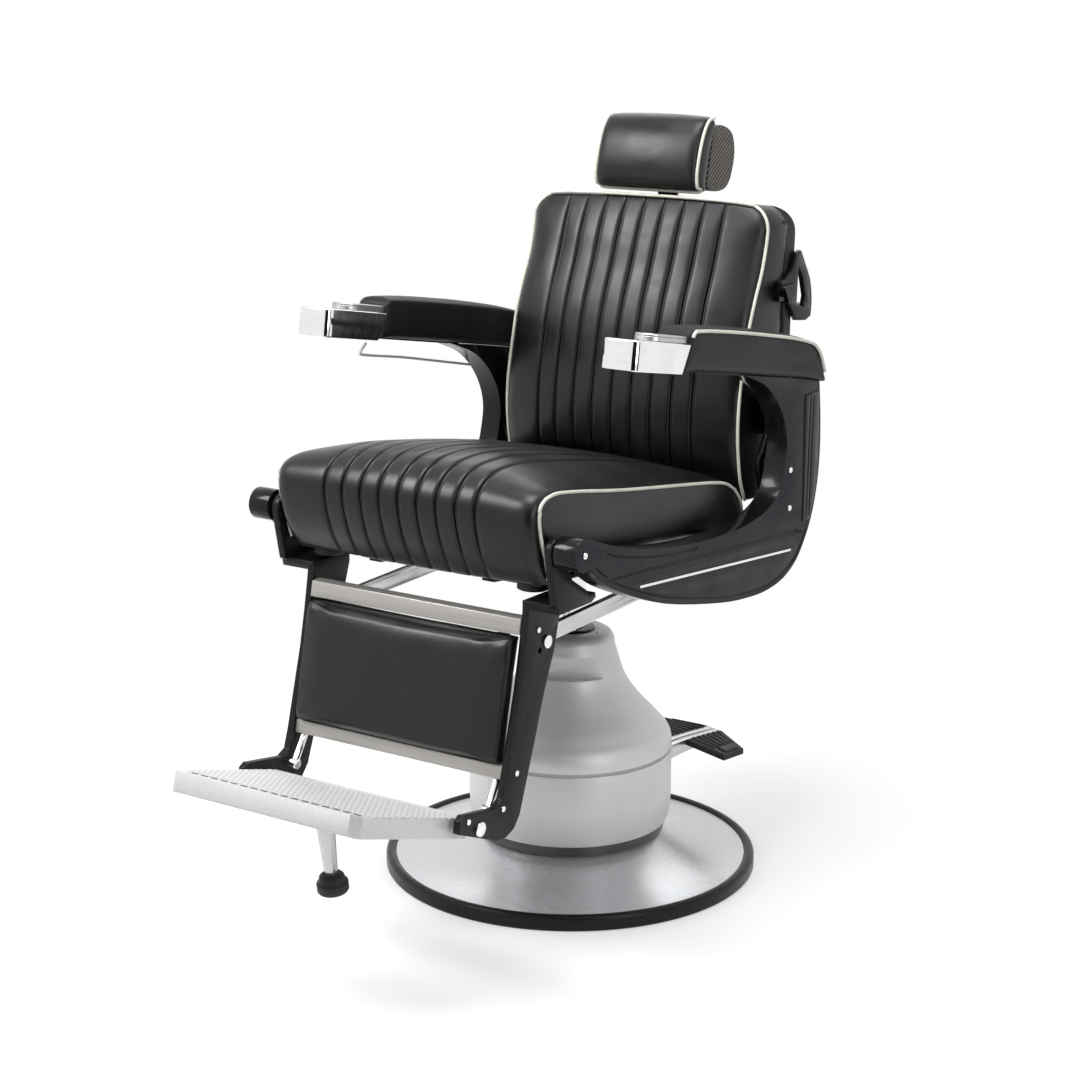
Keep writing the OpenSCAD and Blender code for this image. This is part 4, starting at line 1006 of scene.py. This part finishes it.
def seams_of(pitch):
    """Where the seams between the flutes lie."""
    return [(k - FLUTES / 2) * pitch for k in range(FLUTES + 1)]


def seat_line(y):
    """Height of the seat's underside at a depth."""
    return 621 - math.tan(SLOPE) * (y + 435)


SEAT_CROWN = ((-415, -351, -240, -124, -32, 48, 92, 120), (24, 35, 39, 34, 26, 19, 12, 0))


def seat_cushion():
    """The fluted seat cushion: a proud front, a crowned top and a round rear end."""
    front = smooth([(-432, 621), (-453, 652), (-466, 692), (-469, 724), (-460, 744), (-440, 755),
                    (-415, 758)], 4)
    top = smooth([(-415, 758), (-351, 749), (-240, 730), (-124, 713), (-32, 700), (48, 688), (92, 678),
                  (121, 663)], 3)[1:]
    rear = smooth([(121, 663), (144, 638), (152, 606)], 3)[1:]
    side = np.vstack([front, top, rear])
    rise = []
    for j in range(len(side)):
        if j < len(front):
            share = min(1, j / 8)
            curl = max(0, (j - 14) / 10)
            rise.append((-4 * share * (1 - curl), 3 * share + 19 * curl - 9 * (1 - share)))
        else:
            rise.append((0, np.interp(side[j][0], *SEAT_CROWN)))
    tuck = np.interp([p[1] if k < len(front) else 800 for k, p in enumerate(side)], (621, 650, 735, 762),
                     (7, 19, 17, 6))
    xs = flute_columns(SEAT_HALF, SEAT_PITCH)
    ends = ((-426, seat_line(-426)), (148, seat_line(148)))
    cushion = profile_cushion("seat_cover", side, rise, ends, SEAT_HALF, xs, SIDE_SWELL, None, tuck, 22.0,
                              reach=7.0)
    cushion.xs, cushion.seams = xs, seams_of(SEAT_PITCH)
    return cushion


BACK_REAR = 303.0
BACK_CORNER = 40.0


def back_cushion():
    """The fluted back cushion. Its boxing runs back over the board."""
    side = smooth([(172, 626), (155, 662), (146, 705), (142, 745), (144, 790), (152, 840), (168, 912),
                   (186, 962), (204, 1003), (219, 1045), (228, 1080), (240, 1107)], 4)
    rise = []
    for j, z in enumerate(side[:, 1]):
        up = min(1, j / 7)
        top = max(0, (z - 1045) / 62)
        rise.append((-26 * up * (1 - 0.55 * top), 7 * top))
    narrow = round_top(BACK_HALF, side[-1][1], BACK_CORNER)
    xs = flute_columns(BACK_HALF, BACK_PITCH)
    ends = ((286, 626), (BACK_REAR, 1101))
    tuck = np.interp([p[1] for p in side], (640, 800, 1010, 1070, 1107), (5, 6, 13, 11, 4))
    cushion = profile_cushion("back_cover", side, rise, ends, BACK_HALF, xs, 3.0, narrow, tuck, 20.0, 5.0,
                              reach=6.0)
    cushion.xs, cushion.seams = xs, seams_of(BACK_PITCH)
    return cushion


def plain_columns(half, count=27):
    """Columns that stand closer beside the edge seams."""
    return [half * math.sin(math.pi / 2 * u) for u in np.linspace(-1, 1, count)]


def headrest_cushion():
    """The headrest's front cushion."""
    side = smooth([(242, 1126), (225, 1131), (219, 1153), (224, 1183), (233, 1209), (246, 1231),
                   (262, 1244), (280, 1246)], 4)
    rise = [(-5 * math.sin(math.pi * j / (len(side) - 1)), 3 * j / (len(side) - 1))
            for j in range(len(side))]
    ends = ((257, 1127), (284, 1228))
    tuck = [2 + 7 * math.sin(math.pi * j / (len(side) - 1)) for j in range(len(side))]
    return profile_cushion("headrest_cover", side, rise, ends, HEAD_HALF, plain_columns(HEAD_HALF), 3, None,
                           tuck, 13.0, reach=2.0)


def leg_plane(z):
    """Depth of the legrest's tilted plane at a height."""
    return -435 - (561 - z) * 0.218


def legrest_pad():
    """The legrest's flat pad between its rails."""
    proud = 15

    def spot(z, d):
        """A spot at a height, so far in front of the legrest's plane."""
        return (leg_plane(z) - d, z)
    side = smooth([spot(352, 1), spot(351.5, 8), spot(354, proud - 4), spot(362, proud)], 3)
    face = [spot(z, proud + 1) for z in np.linspace(378, 508, 12)]
    over = smooth([spot(524, proud), spot(531.5, proud - 4), spot(534, 8), spot(534.4, 1)], 3)
    side = np.vstack([side, face, over])
    count = len(side)
    shares = [min(1, max(0, (j - 4) / (count - 9))) for j in range(count)]
    rise = [(-6 * math.sin(math.pi * share) ** 0.6, 0) for share in shares]
    ends = (spot(353, -12.5), spot(533, -12.5))
    columns = plain_columns(LEG_PAD_HALF, 33)
    return profile_cushion("legrest_cover", side, rise, ends, LEG_PAD_HALF, columns, 2)


ARM_LOW = -41.6
ARM_HALF = 30.0


def arm_place(turn):
    """The place of an arm's pieces, which are drawn level for the left arm."""
    place = at(ARM_ORIGIN, ARM_SLOPE)
    return place if turn > 0 else MIRROR @ place


def arm_pad(label, turn):
    """The padded rest of an arm, with its lip down over the frame."""
    front = smooth([(137, ARM_LOW), (145.5, -20), (153.3, 0), (155, 14), (164, 22)], 3)
    top = smooth([(164, 22), (210, 24.5), (290, 26), (380, 26), (470, 25), (530, 22)], 4)[1:]
    rear = smooth([(530, 22), (560, 17), (583, 3), (600, -18), (615.5, ARM_LOW)], 3)[1:]
    side = np.vstack([front, top, rear])
    rise = [(0, 4 * min(1, max(0, (z + 10) / 30))) for z in side[:, 1]]
    ends = ((138, ARM_LOW), (614.5, ARM_LOW))
    columns = plain_columns(ARM_HALF, 13)
    return profile_cushion("arm_pad_cover_" + label, side, rise, ends, ARM_HALF, columns, 2, width=6.0,
                           reach=2.0, place=arm_place(turn))


PIPING_LIFT, PIPING_OUT = 0.35 * PIPING_R, 0.75 * PIPING_R


def pipe(name, cushion, keep, body):
    """Piping along a kept stretch of a cushion's rim, just outside its edge."""
    spots = [cushion.rim[k] + cushion.out[k] * PIPING_OUT + cushion.up[k] * PIPING_LIFT for k in keep]
    finished(cord_piece(name, smooth(spots, 2), PIPING_R, cushion.place), PIPING, body)


def cushions():
    """Makes, fills and covers every cushion, and sews its piping on."""
    seat, back = seat_cushion(), back_cushion()
    head, leg = headrest_cushion(), legrest_pad()
    arms = [arm_pad(label, turn) for label, turn in SIDES]
    for cushion in (seat, back):
        cushion.sew([i for i, x in enumerate(cushion.xs) if min(abs(x - s) for s in cushion.seams) < 0.2])
    inflate([seat, back, head, leg, *arms])
    flute(seat)
    flute(back)
    waves = [(seat, 0.9, 90, (1, 1, 1), 3.1), (back, 0.8, 80, (1, 1, 1), 7.7),
             (leg, 1.1, 60, (0.5, 1, 1.4), 1.9), (head, 0.5, 50, (1, 1, 1), 5.3),
             (arms[0], 0.4, 60, (1, 1, 1), 2.0), (arms[1], 0.4, 60, (1, 1, 1), 3.0)]
    for wave in waves:
        ripple(*wave)
    covers = {"seat_cushion": (seat, LEATHER), "back_cushion": (back, LEATHER),
              "headrest_cushion": (head, LEATHER), "legrest_pad": (leg, LEATHER),
              "arm_pad_left": (arms[0], ARM_LEATHER), "arm_pad_right": (arms[1], ARM_LEATHER)}
    for node, (cushion, finish) in covers.items():
        subdivided(cushion.made)
        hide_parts(node)
        finished(cushion.made, finish, body_of(node))
    for label, column in (("right", 0), ("left", seat.columns - 1)):
        pipe("seat_piping_" + label, seat, seat.column_run(column), "seat")
    over = [*back.column_run(0), *back.row_run(back.rows - 1)[1:-1],
            *back.column_run(back.columns - 1)[::-1]]
    pipe("back_piping", back, over, "backrest")
    for label, column in (("right", 0), ("left", head.columns - 1)):
        pipe("headrest_piping_" + label, head, head.column_run(column), "headrest")
    pipe("headrest_piping_low", head, head.row_run(0), "headrest")
    for label, arm in zip(("left", "right"), arms):
        pipe("arm_piping_" + label, arm, arm.column_run(arm.columns - 1, 8, 2), "seat")


# ---- Arm tongues: the padded arm's flat end on the chromed tip ----
def stadium(y_round, y_end, r, z):
    """A level outline with a round front end and a straight rear end."""
    turns = [math.pi + math.pi * k / 24 for k in range(25)]
    front = [(r * math.cos(a), y_round + r * math.sin(a), z) for a in turns]
    return [*front, (r, y_end, z), (-r, y_end, z)]


TIP_CORNER = 14.0
TIP_EDGE = [(2.6, 0), (1.3, 0.35), (0.35, 1.3), (0, 2.6)]


def arm_tip(label, turn):
    """The chromed tip: a flat box with round front corners, cut off at the slant of the pad's end."""
    node = "arm_tip_" + label
    place = arm_place(turn)
    back = place.inverted()
    spots = np.array([back @ v.co for v in nodes[node].data.vertices]) / MM
    (half, _, top), (_, front, base) = spots.max(0), spots.min(0)
    rear_low = spots[spots[:, 2] < base + 3][:, 1].max()
    rear_top = spots[spots[:, 2] > top - 3][:, 1].max()
    turns = np.linspace(0, math.pi / 2, 9)
    levels = [(inset, base + up) for inset, up in TIP_EDGE]
    levels += [(inset, top - down) for inset, down in TIP_EDGE[::-1]]
    rings = []
    for inset, z in levels:
        r = TIP_CORNER - inset
        rear = rear_low + (rear_top - rear_low) * (z - base) / (top - base)
        left = [(-half + TIP_CORNER - r * math.sin(a), front + TIP_CORNER - r * math.cos(a), z)
                for a in turns[::-1]]
        right = [(-x, y, z) for x, y, z in left[::-1]]
        rings.append([(-half + inset, rear, z), *left, *right, (half - inset, rear, z)])
    made = piece(node + "_form", *ribbon(rings), place, 50)
    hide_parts(node)
    finished(made, CHROME, body_of(node))


def tongue(label, turn):
    """The pad's flat tongue on the chromed tip, with a lid of bright metal on it."""
    lower = [(23.2, 0.4), (24, 1.2), (24, 6.6), (23.2, 7.4)]
    lid = [(22.6, 7.4), (23.8, 8.0), (23.8, 9.6), (22.8, 10.8), (20.6, 11.2)]
    for name, levels, rear in (("arm_tongue_", lower, 158), ("arm_tongue_lid_", lid, 160)):
        rings = [stadium(86, rear, r, z) for r, z in levels]
        finished(piece(name + label, *ribbon(rings), arm_place(turn)), LID, "seat")


# ---- Side frames ----
FRAME_EDGE = [(-372, 663), (-330, 649), (-250, 632), (-180, 622), (-110, 616)]
FRAME_RIM = [(-400, 648), (-376, 630), (-330, 606), (-202, 558), (-34, 520), (70, 507.5), (134, 507.5),
             (183, 518), (224, 542), (260, 590), (280, 646)]
FRAME_PANEL = [(-368, 621), (-250, 613.6), (-100, 602), (60, 589.4), (224, 577.4)]
GROOVES = ((FRAME_EDGE, 2.0, 4), (FRAME_RIM, 1.5, 5), (FRAME_PANEL, 2.2, 4))
SUNK = 2.4


def side_frame(label, turn):
    """A cast side frame: grooves in its hammered outside, with a duller enamel in them as painted shade,
    and gloss enamel on the rest.
    """
    node = "side_frame_" + label
    made = form_of(node, 2.4, 3, 40)
    cutters = []
    for k, (line, radius, steps) in enumerate(GROOVES):
        path = [(turn * (FRAME_OUT + 0.2), y, z) for y, z in smooth(line, steps)]
        cutters.append(cord_piece("groove_%s_%d" % (label, k), path, radius, sides=6))
    carve(made, cutters)
    painted(made, CHARCOAL, GLOSS, GROOVE_SHADE_ENAMEL)
    drawn = np.vstack([smooth(line, 60) for line, _, _ in GROOVES])
    for face in made.data.polygons:
        x, y, z = face.center / MM
        # Faces sunk in a groove take the duller groove enamel: painted shade in the grooves.
        sunk = 0.2 < FRAME_OUT - x * turn < SUNK and np.hypot(*(drawn - (y, z)).T).min() < SUNK
        face.material_index = 2 if sunk else 0 if face.normal.x * turn > 0.75 else 1
    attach(made, body_of(node))


# ---- Footplate ----
RIDGE_PITCH, CROSS_PITCH = 14.0, 9.4
PLATE_HALF, PLATE_FRONT_HALF, PLATE_WAIST, PLATE_END = 186.0, 173.0, -40.0, -235.0
SLOT_Y, SLOT_R, SLOT_REACH = -218.5, 3, 3.5


def plate_half(y):
    """Half the footplate's width at a depth on it."""
    share = min(1, max(0, (PLATE_WAIST - y) / (PLATE_WAIST - PLATE_END)))
    return PLATE_HALF + (PLATE_FRONT_HALF - PLATE_HALF) * share


def footplate():
    """The footplate: a flat casting, its ridged tread and the painted shade of the slots at its front edge.
    """
    place = at(PLATE_HINGE, PLATE_SLOPE)
    back = place.inverted()
    plate = copy_of("footplate")
    for v in plate.data.vertices:
        spot = back @ v.co / MM
        if spot.z > TREAD_LOW and -228 < spot.y < -1:
            v.co = place @ (Vector((spot.x, spot.y, TREAD_LOW)) * MM)
    rounded(plate, 1.6, 2, 50)
    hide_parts("footplate")
    finished(plate, TREAD, "footrest")
    tread(place)
    slots(place, plate)


def tread(place):
    """Ridges across the footplate, each with a row of low bosses."""
    top = []
    for y in np.arange(-3.0, -212.0, -RIDGE_PITCH / 6):
        row = []
        for u in np.linspace(-1, 1, 201):
            x = u * (plate_half(y) - 0.4)
            wave = 0.5 - 0.5 * math.cos(2 * math.pi * (y + 3) / RIDGE_PITCH)
            cross = 0.5 + 0.5 * math.cos(2 * math.pi * x / CROSS_PITCH)
            row.append((x, y, TREAD_LOW - 0.3 + (TREAD_TOP - TREAD_LOW) * wave * (0.6 + 0.4 * cross)))
        top.append(row)
    made = piece("footplate_tread", *slab(top, TREAD_LOW - 1.4), place, 60)
    finished(made, RIDGES, "footrest")


def slots(place, plate):
    """Dark patches laid on the footplate's front edge: painted shade standing for its slots."""
    points, faces = [], []
    turns = [math.pi * (0.5 + k / 6) for k in range(7)] + [math.pi * (1.5 + k / 6) for k in range(7)]
    count = len(turns)
    for x in np.linspace(-150, 150, 17):
        start = len(points)
        above, down = place @ (Vector((x, SLOT_Y, 60)) * MM), -Vector(PLATE_UP)
        level = (place.inverted() @ plate.ray_cast(above, down)[1]).z / MM
        for z in (level - 1, level + 0.6):
            points += [(x + (-SLOT_REACH if k < 7 else SLOT_REACH) + SLOT_R * math.cos(a),
                        SLOT_Y + SLOT_R * math.sin(a), z) for k, a in enumerate(turns)]
        faces += [tuple(start + k for k in range(count)), tuple(start + count + k for k in range(count))]
        faces += [(start + k, start + (k + 1) % count, start + count + (k + 1) % count, start + count + k)
                  for k in range(count)]
    # Near-black trim on the patches: painted shade where the slots are.
    finished(piece("footplate_slot_shade_patches", points, faces, place), TRIM, "footrest")


# ---- Headrest's ribbed rear pad ----
RIB_DEPTH = 2.2


def headrest_back():
    """The rubber pad behind the headrest, with slanted ribs on both its sides."""
    front = smooth([(290, 1228), (284.5, 1190), (276.5, 1158), (272, 1134), (276, 1128)], 20)[:-1]
    rear = smooth([(276, 1128), (302, 1121), (334, 1124), (352, 1142), (364, 1180), (358, 1210),
                   (342, 1224), (318, 1231), (294, 1231)], 30)
    line = np.vstack([front, rear])
    centre, half = np.array(RIB_CENTRE), HEAD_HALF - 4

    def ring(x, share, ribbed):
        """The outline drawn in to a share of its size, sunk between the ribs."""
        out = []
        for y, z in centre + (line - centre) * share:
            across = (z - centre[1]) * RIB_WAY[0] - (y - centre[0]) * RIB_WAY[1]
            rib = 0.5 + 0.5 * math.cos(2 * math.pi * across / RIB_PITCH)
            out.append((x - math.copysign(RIB_DEPTH * rib * ribbed, x), y, z))
        return out
    side = [(-half, share, 1) for share in np.linspace(0.02, 0.93, 56)]
    side += [(-half, 0.955, 0.6), (-half + 0.8, 0.985, 0), (-half + 3, 1.0, 0)]
    middle = [(x, 1.0, 0) for x in np.linspace(-half + 20, half - 20, 9)]
    other = [(-x, share, ribbed) for x, share, ribbed in side[::-1]]
    rings = [ring(*row) for row in [*side, *middle, *other]]
    made = piece("headrest_rear_pad", *ribbon(rings), None, 50)
    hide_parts("headrest_back")
    finished(made, HEAD_RUBBER, body_of("headrest_back"))


# ---- Pedal pads ----
PAD_CORNERS = np.array([(15.6, 250.3), (117.7, 246.3), (111.7, 297.7), (15.6, 333.6)])
PAD_RIBS = 7
PAD_FLOOR, PAD_RIM = 3.0, 1.5
PAD_BORDER = 0.03


def pad_height(u, v, top):
    """Height of a pedal's rubber: a low rim, ribs on the inner part and a plain tile on the outer one."""
    floor_z = top - PAD_FLOOR
    if 0.72 < u < 0.95 and 0.2 < v < 0.8:
        return top
    if min(u, v) < PAD_BORDER or max(u, v) > 1 - PAD_BORDER:
        return floor_z - PAD_RIM
    if u < 0.68 and 0.05 < v < 0.95:
        rib = min(1, max(0, 0.5 + 1.6 * math.cos(2 * math.pi * v * PAD_RIBS)))
        return floor_z + (top - floor_z) * rib
    return floor_z


def pedal_pad(node, turn):
    """A pedal's rubber pad, laid out between four corners."""
    base, highest = low(node)[2], high(node)[2]
    rows, wide = 45, 57
    top = []
    for u in np.arange(rows) / (rows - 1):
        near = PAD_CORNERS[0] * (1 - u) + PAD_CORNERS[1] * u
        far = PAD_CORNERS[3] * (1 - u) + PAD_CORNERS[2] * u
        row = []
        for v in np.arange(wide) / (wide - 1):
            x, y = near * (1 - v) + far * v
            row.append((turn * x, y, pad_height(u, v, highest)))
        top.append(row)
    place = Matrix.Rotation(PEDAL_TURN, 4, "Z")
    made = piece(node + "_rubber", *slab(top, base), place, 40)
    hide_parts(node)
    finished(made, RUBBER, body_of(node))


# ---- Covered back shell, and the bracket's chromed edge ----
SHELL_CORNER = 40.0


def back_shell():
    """The cover behind the back: a soft-cornered panel whose wall meets the back cushion's boxing."""
    half = BACK_HALF + 4.8
    side = smooth([(314, 655), (317, 780), (319, 905), (324, 1000), (328, 1050), (326, 1074), (318, 1093),
                   (303, 1103.5)], 4)
    rise = [(0, 0)] * len(side)
    ends = ((284, 645), (292, 1100))
    narrow = round_top(half, side[-1][1], SHELL_CORNER)
    cover = profile_cushion("back_shell_cover", side, rise, ends, half, plain_columns(half, 41), 0.0,
                            narrow, tuck=3.0, width=10.0, spread=-2.0)
    subdivided(cover.made)
    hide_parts("back_shell")
    finished(cover.made, SHELL_COVER, "backrest")
    edge = smooth([(372.5, 914), (375.6, 940), (368.6, 975), (350.6, 1004), (333, 1029)], 5)
    for label, turn in SIDES:
        x0, x1 = turn * (BACK_HALF + SIDE_SWELL - 0.4), turn * (BACK_HALF + SIDE_SWELL + 9.4)
        rings = [[(x0, y - 1.6, z - 0.8), (x1, y - 1.6, z - 0.8),
                  (x1, y + 0.9, z + 0.4), (x0, y + 0.9, z + 0.4)] for y, z in edge]
        finished(piece("handle_edge_" + label, *ribbon(rings)), CHROME, "backrest")


# ---- Studio ----
TARGET = Vector((-0.0427, -0.0288, 0.5643))
DISTANCE = 3.8242
AZIMUTH, ELEVATION = math.radians(34), math.radians(14)
LENS, SENSOR = 76.67, 36
FLOOR_Z = -0.4
FLOOR_GLOW = 0.42


def camera():
    """The camera that the chair is shown through."""
    back = Vector((math.sin(AZIMUTH) * math.cos(ELEVATION), -math.cos(AZIMUTH) * math.cos(ELEVATION),
                   math.sin(ELEVATION)))
    lens = bpy.data.cameras.new("camera")
    lens.sensor_width = SENSOR
    lens.lens = LENS
    lens.clip_end = 60
    shown = linked("camera", lens)
    shown.location = TARGET + back * DISTANCE
    shown.rotation_euler = (-back).to_track_quat("-Z", "Y").to_euler()
    bpy.context.scene.camera = shown


def bare(owner):
    """The emptied shader graph of a world or a material."""
    owner.use_nodes = True
    owner.node_tree.nodes.clear()
    return Graph(owner.node_tree)


def seen_rays(graph):
    """One for what is seen straight, in a reflection or through glass, and nought for light."""
    path = graph.add("LightPath")
    seen = graph.math("ADD", path.outputs["Is Camera Ray"], path.outputs["Is Glossy Ray"], True)
    return graph.math("ADD", seen, path.outputs["Is Transmission Ray"], True)


def world():
    """White where it is seen, with a softer light on the chair."""
    made = bpy.data.worlds.new("studio")
    graph = bare(made)
    soft = graph.add("Background", {"Color": (0.95, 0.97, 1.0, 1), "Strength": 0.42})
    white = graph.add("Background", {"Color": (1, 1, 1, 1), "Strength": 1.0})
    both = graph.add("MixShader", {0: seen_rays(graph), 1: soft.outputs[0], 2: white.outputs[0]})
    graph.add("OutputWorld", {"Surface": both.outputs[0]})
    bpy.context.scene.world = made


def floor():
    """A pale round floor that keeps the chair's soft shadow and fades to the white around it."""
    count, radii = 96, [300, 600, 900, 1200, 1600, 2200, 3000]
    points, faces = [(0, 0, FLOOR_Z)], []
    for r in radii:
        points += [(r * math.cos(a), r * math.sin(a), FLOOR_Z)
                   for a in np.arange(count) * 2 * math.pi / count]
    for j in range(count):
        faces.append((0, 1 + j, 1 + (j + 1) % count))
    for k in range(len(radii) - 1):
        for j in range(count):
            a, b = 1 + k * count, 1 + (k + 1) * count
            faces.append((a + j, b + j, b + (j + 1) % count, a + (j + 1) % count))
    made = piece("floor", points, faces)
    look = bpy.data.materials.new("pale floor")
    graph = bare(look)
    away = graph.add("VectorMath", {0: graph.place()}, operation="LENGTH").outputs["Value"]
    ring = graph.span(away, 0.5, 1.5)
    lit = graph.add("BsdfDiffuse", {"Color": (0.8, 0.8, 0.8, 1)})
    seen = seen_rays(graph)
    shown = graph.math("MULTIPLY", seen, FLOOR_GLOW)
    glow = graph.add("Emission", {"Color": (1, 1, 1, 1), "Strength": shown})
    near = graph.add("AddShader", {0: lit.outputs[0], 1: glow.outputs[0]})
    pure = graph.add("Emission", {"Color": (1, 1, 1, 1), "Strength": graph.math("MAXIMUM", seen, 0.5)})
    both = graph.add("MixShader", {0: ring, 1: near.outputs[0], 2: pure.outputs[0]})
    graph.add("OutputMaterial", {"Surface": both.outputs[0]})
    painted(made, look)


def lamp(name, place, size, watts):
    """A soft white lamp that points at the chair."""
    light = bpy.data.lights.new(name, "AREA")
    light.shape = "RECTANGLE"
    light.size, light.size_y = size
    light.energy = watts
    shown = linked(name, light)
    shown.location = place
    shown.rotation_euler = (TARGET - Vector(place)).to_track_quat("-Z", "Y").to_euler()


def flag(name, azimuth, distance, height, width, tall):
    """A black card beside the set. Only reflections show it, so that gloss has dark to stand against."""
    turn = math.radians(azimuth)
    ahead = np.array([math.sin(turn), -math.cos(turn), 0]) * distance / MM
    across = np.array([math.cos(turn), math.sin(turn), 0]) * width / 2 / MM
    rise = np.array([0, 0, tall / 2 / MM])
    middle = ahead + (0, 0, height / MM)
    corners = [middle + a * across + b * rise for a, b in ((-1, -1), (1, -1), (1, 1), (-1, 1))]
    made = piece(name, corners, [(0, 1, 2, 3)])
    look = bpy.data.materials.new(name)
    graph = bare(look)
    dull = graph.add("BsdfDiffuse", {"Color": (0.01, 0.01, 0.011, 1)})
    graph.add("OutputMaterial", {"Surface": dull.outputs[0]})
    painted(made, look)
    made.visible_camera = made.visible_diffuse = made.visible_shadow = False
    made.visible_transmission = made.visible_volume_scatter = False


def studio():
    """Surroundings, floor, lamps and dark cards."""
    world()
    floor()
    lamp("key lamp", (-1.75, -2.15, 2.95), (1.2, 1.3), 74)
    lamp("top lamp", (0.1, -0.5, 3.2), (1.3, 1.3), 44)
    lamp("fill lamp", (2.9, -1.2, 1.5), (1.2, 1.8), 20)
    lamp("rear lamp", (-1.3, 2.3, 2.9), (2.4, 1.8), 16)
    flag("corner flag wide", 36, 2.6, 1.05, 2.0, 2.1)
    flag("corner flag narrow", 84, 2.6, 1.05, 0.7, 2.1)
    bpy.context.scene.view_settings.view_transform = "Standard"


camera()
back_board()
hard_pieces()
for side, side_turn in SIDES:
    side_frame(side, side_turn)
cushions()
for side, side_turn in SIDES:
    arm_tip(side, side_turn)
    tongue(side, side_turn)
footplate()
headrest_back()
pedal_pad("pump_pad", 1)
pedal_pad("release_pad", -1)
back_shell()
studio()
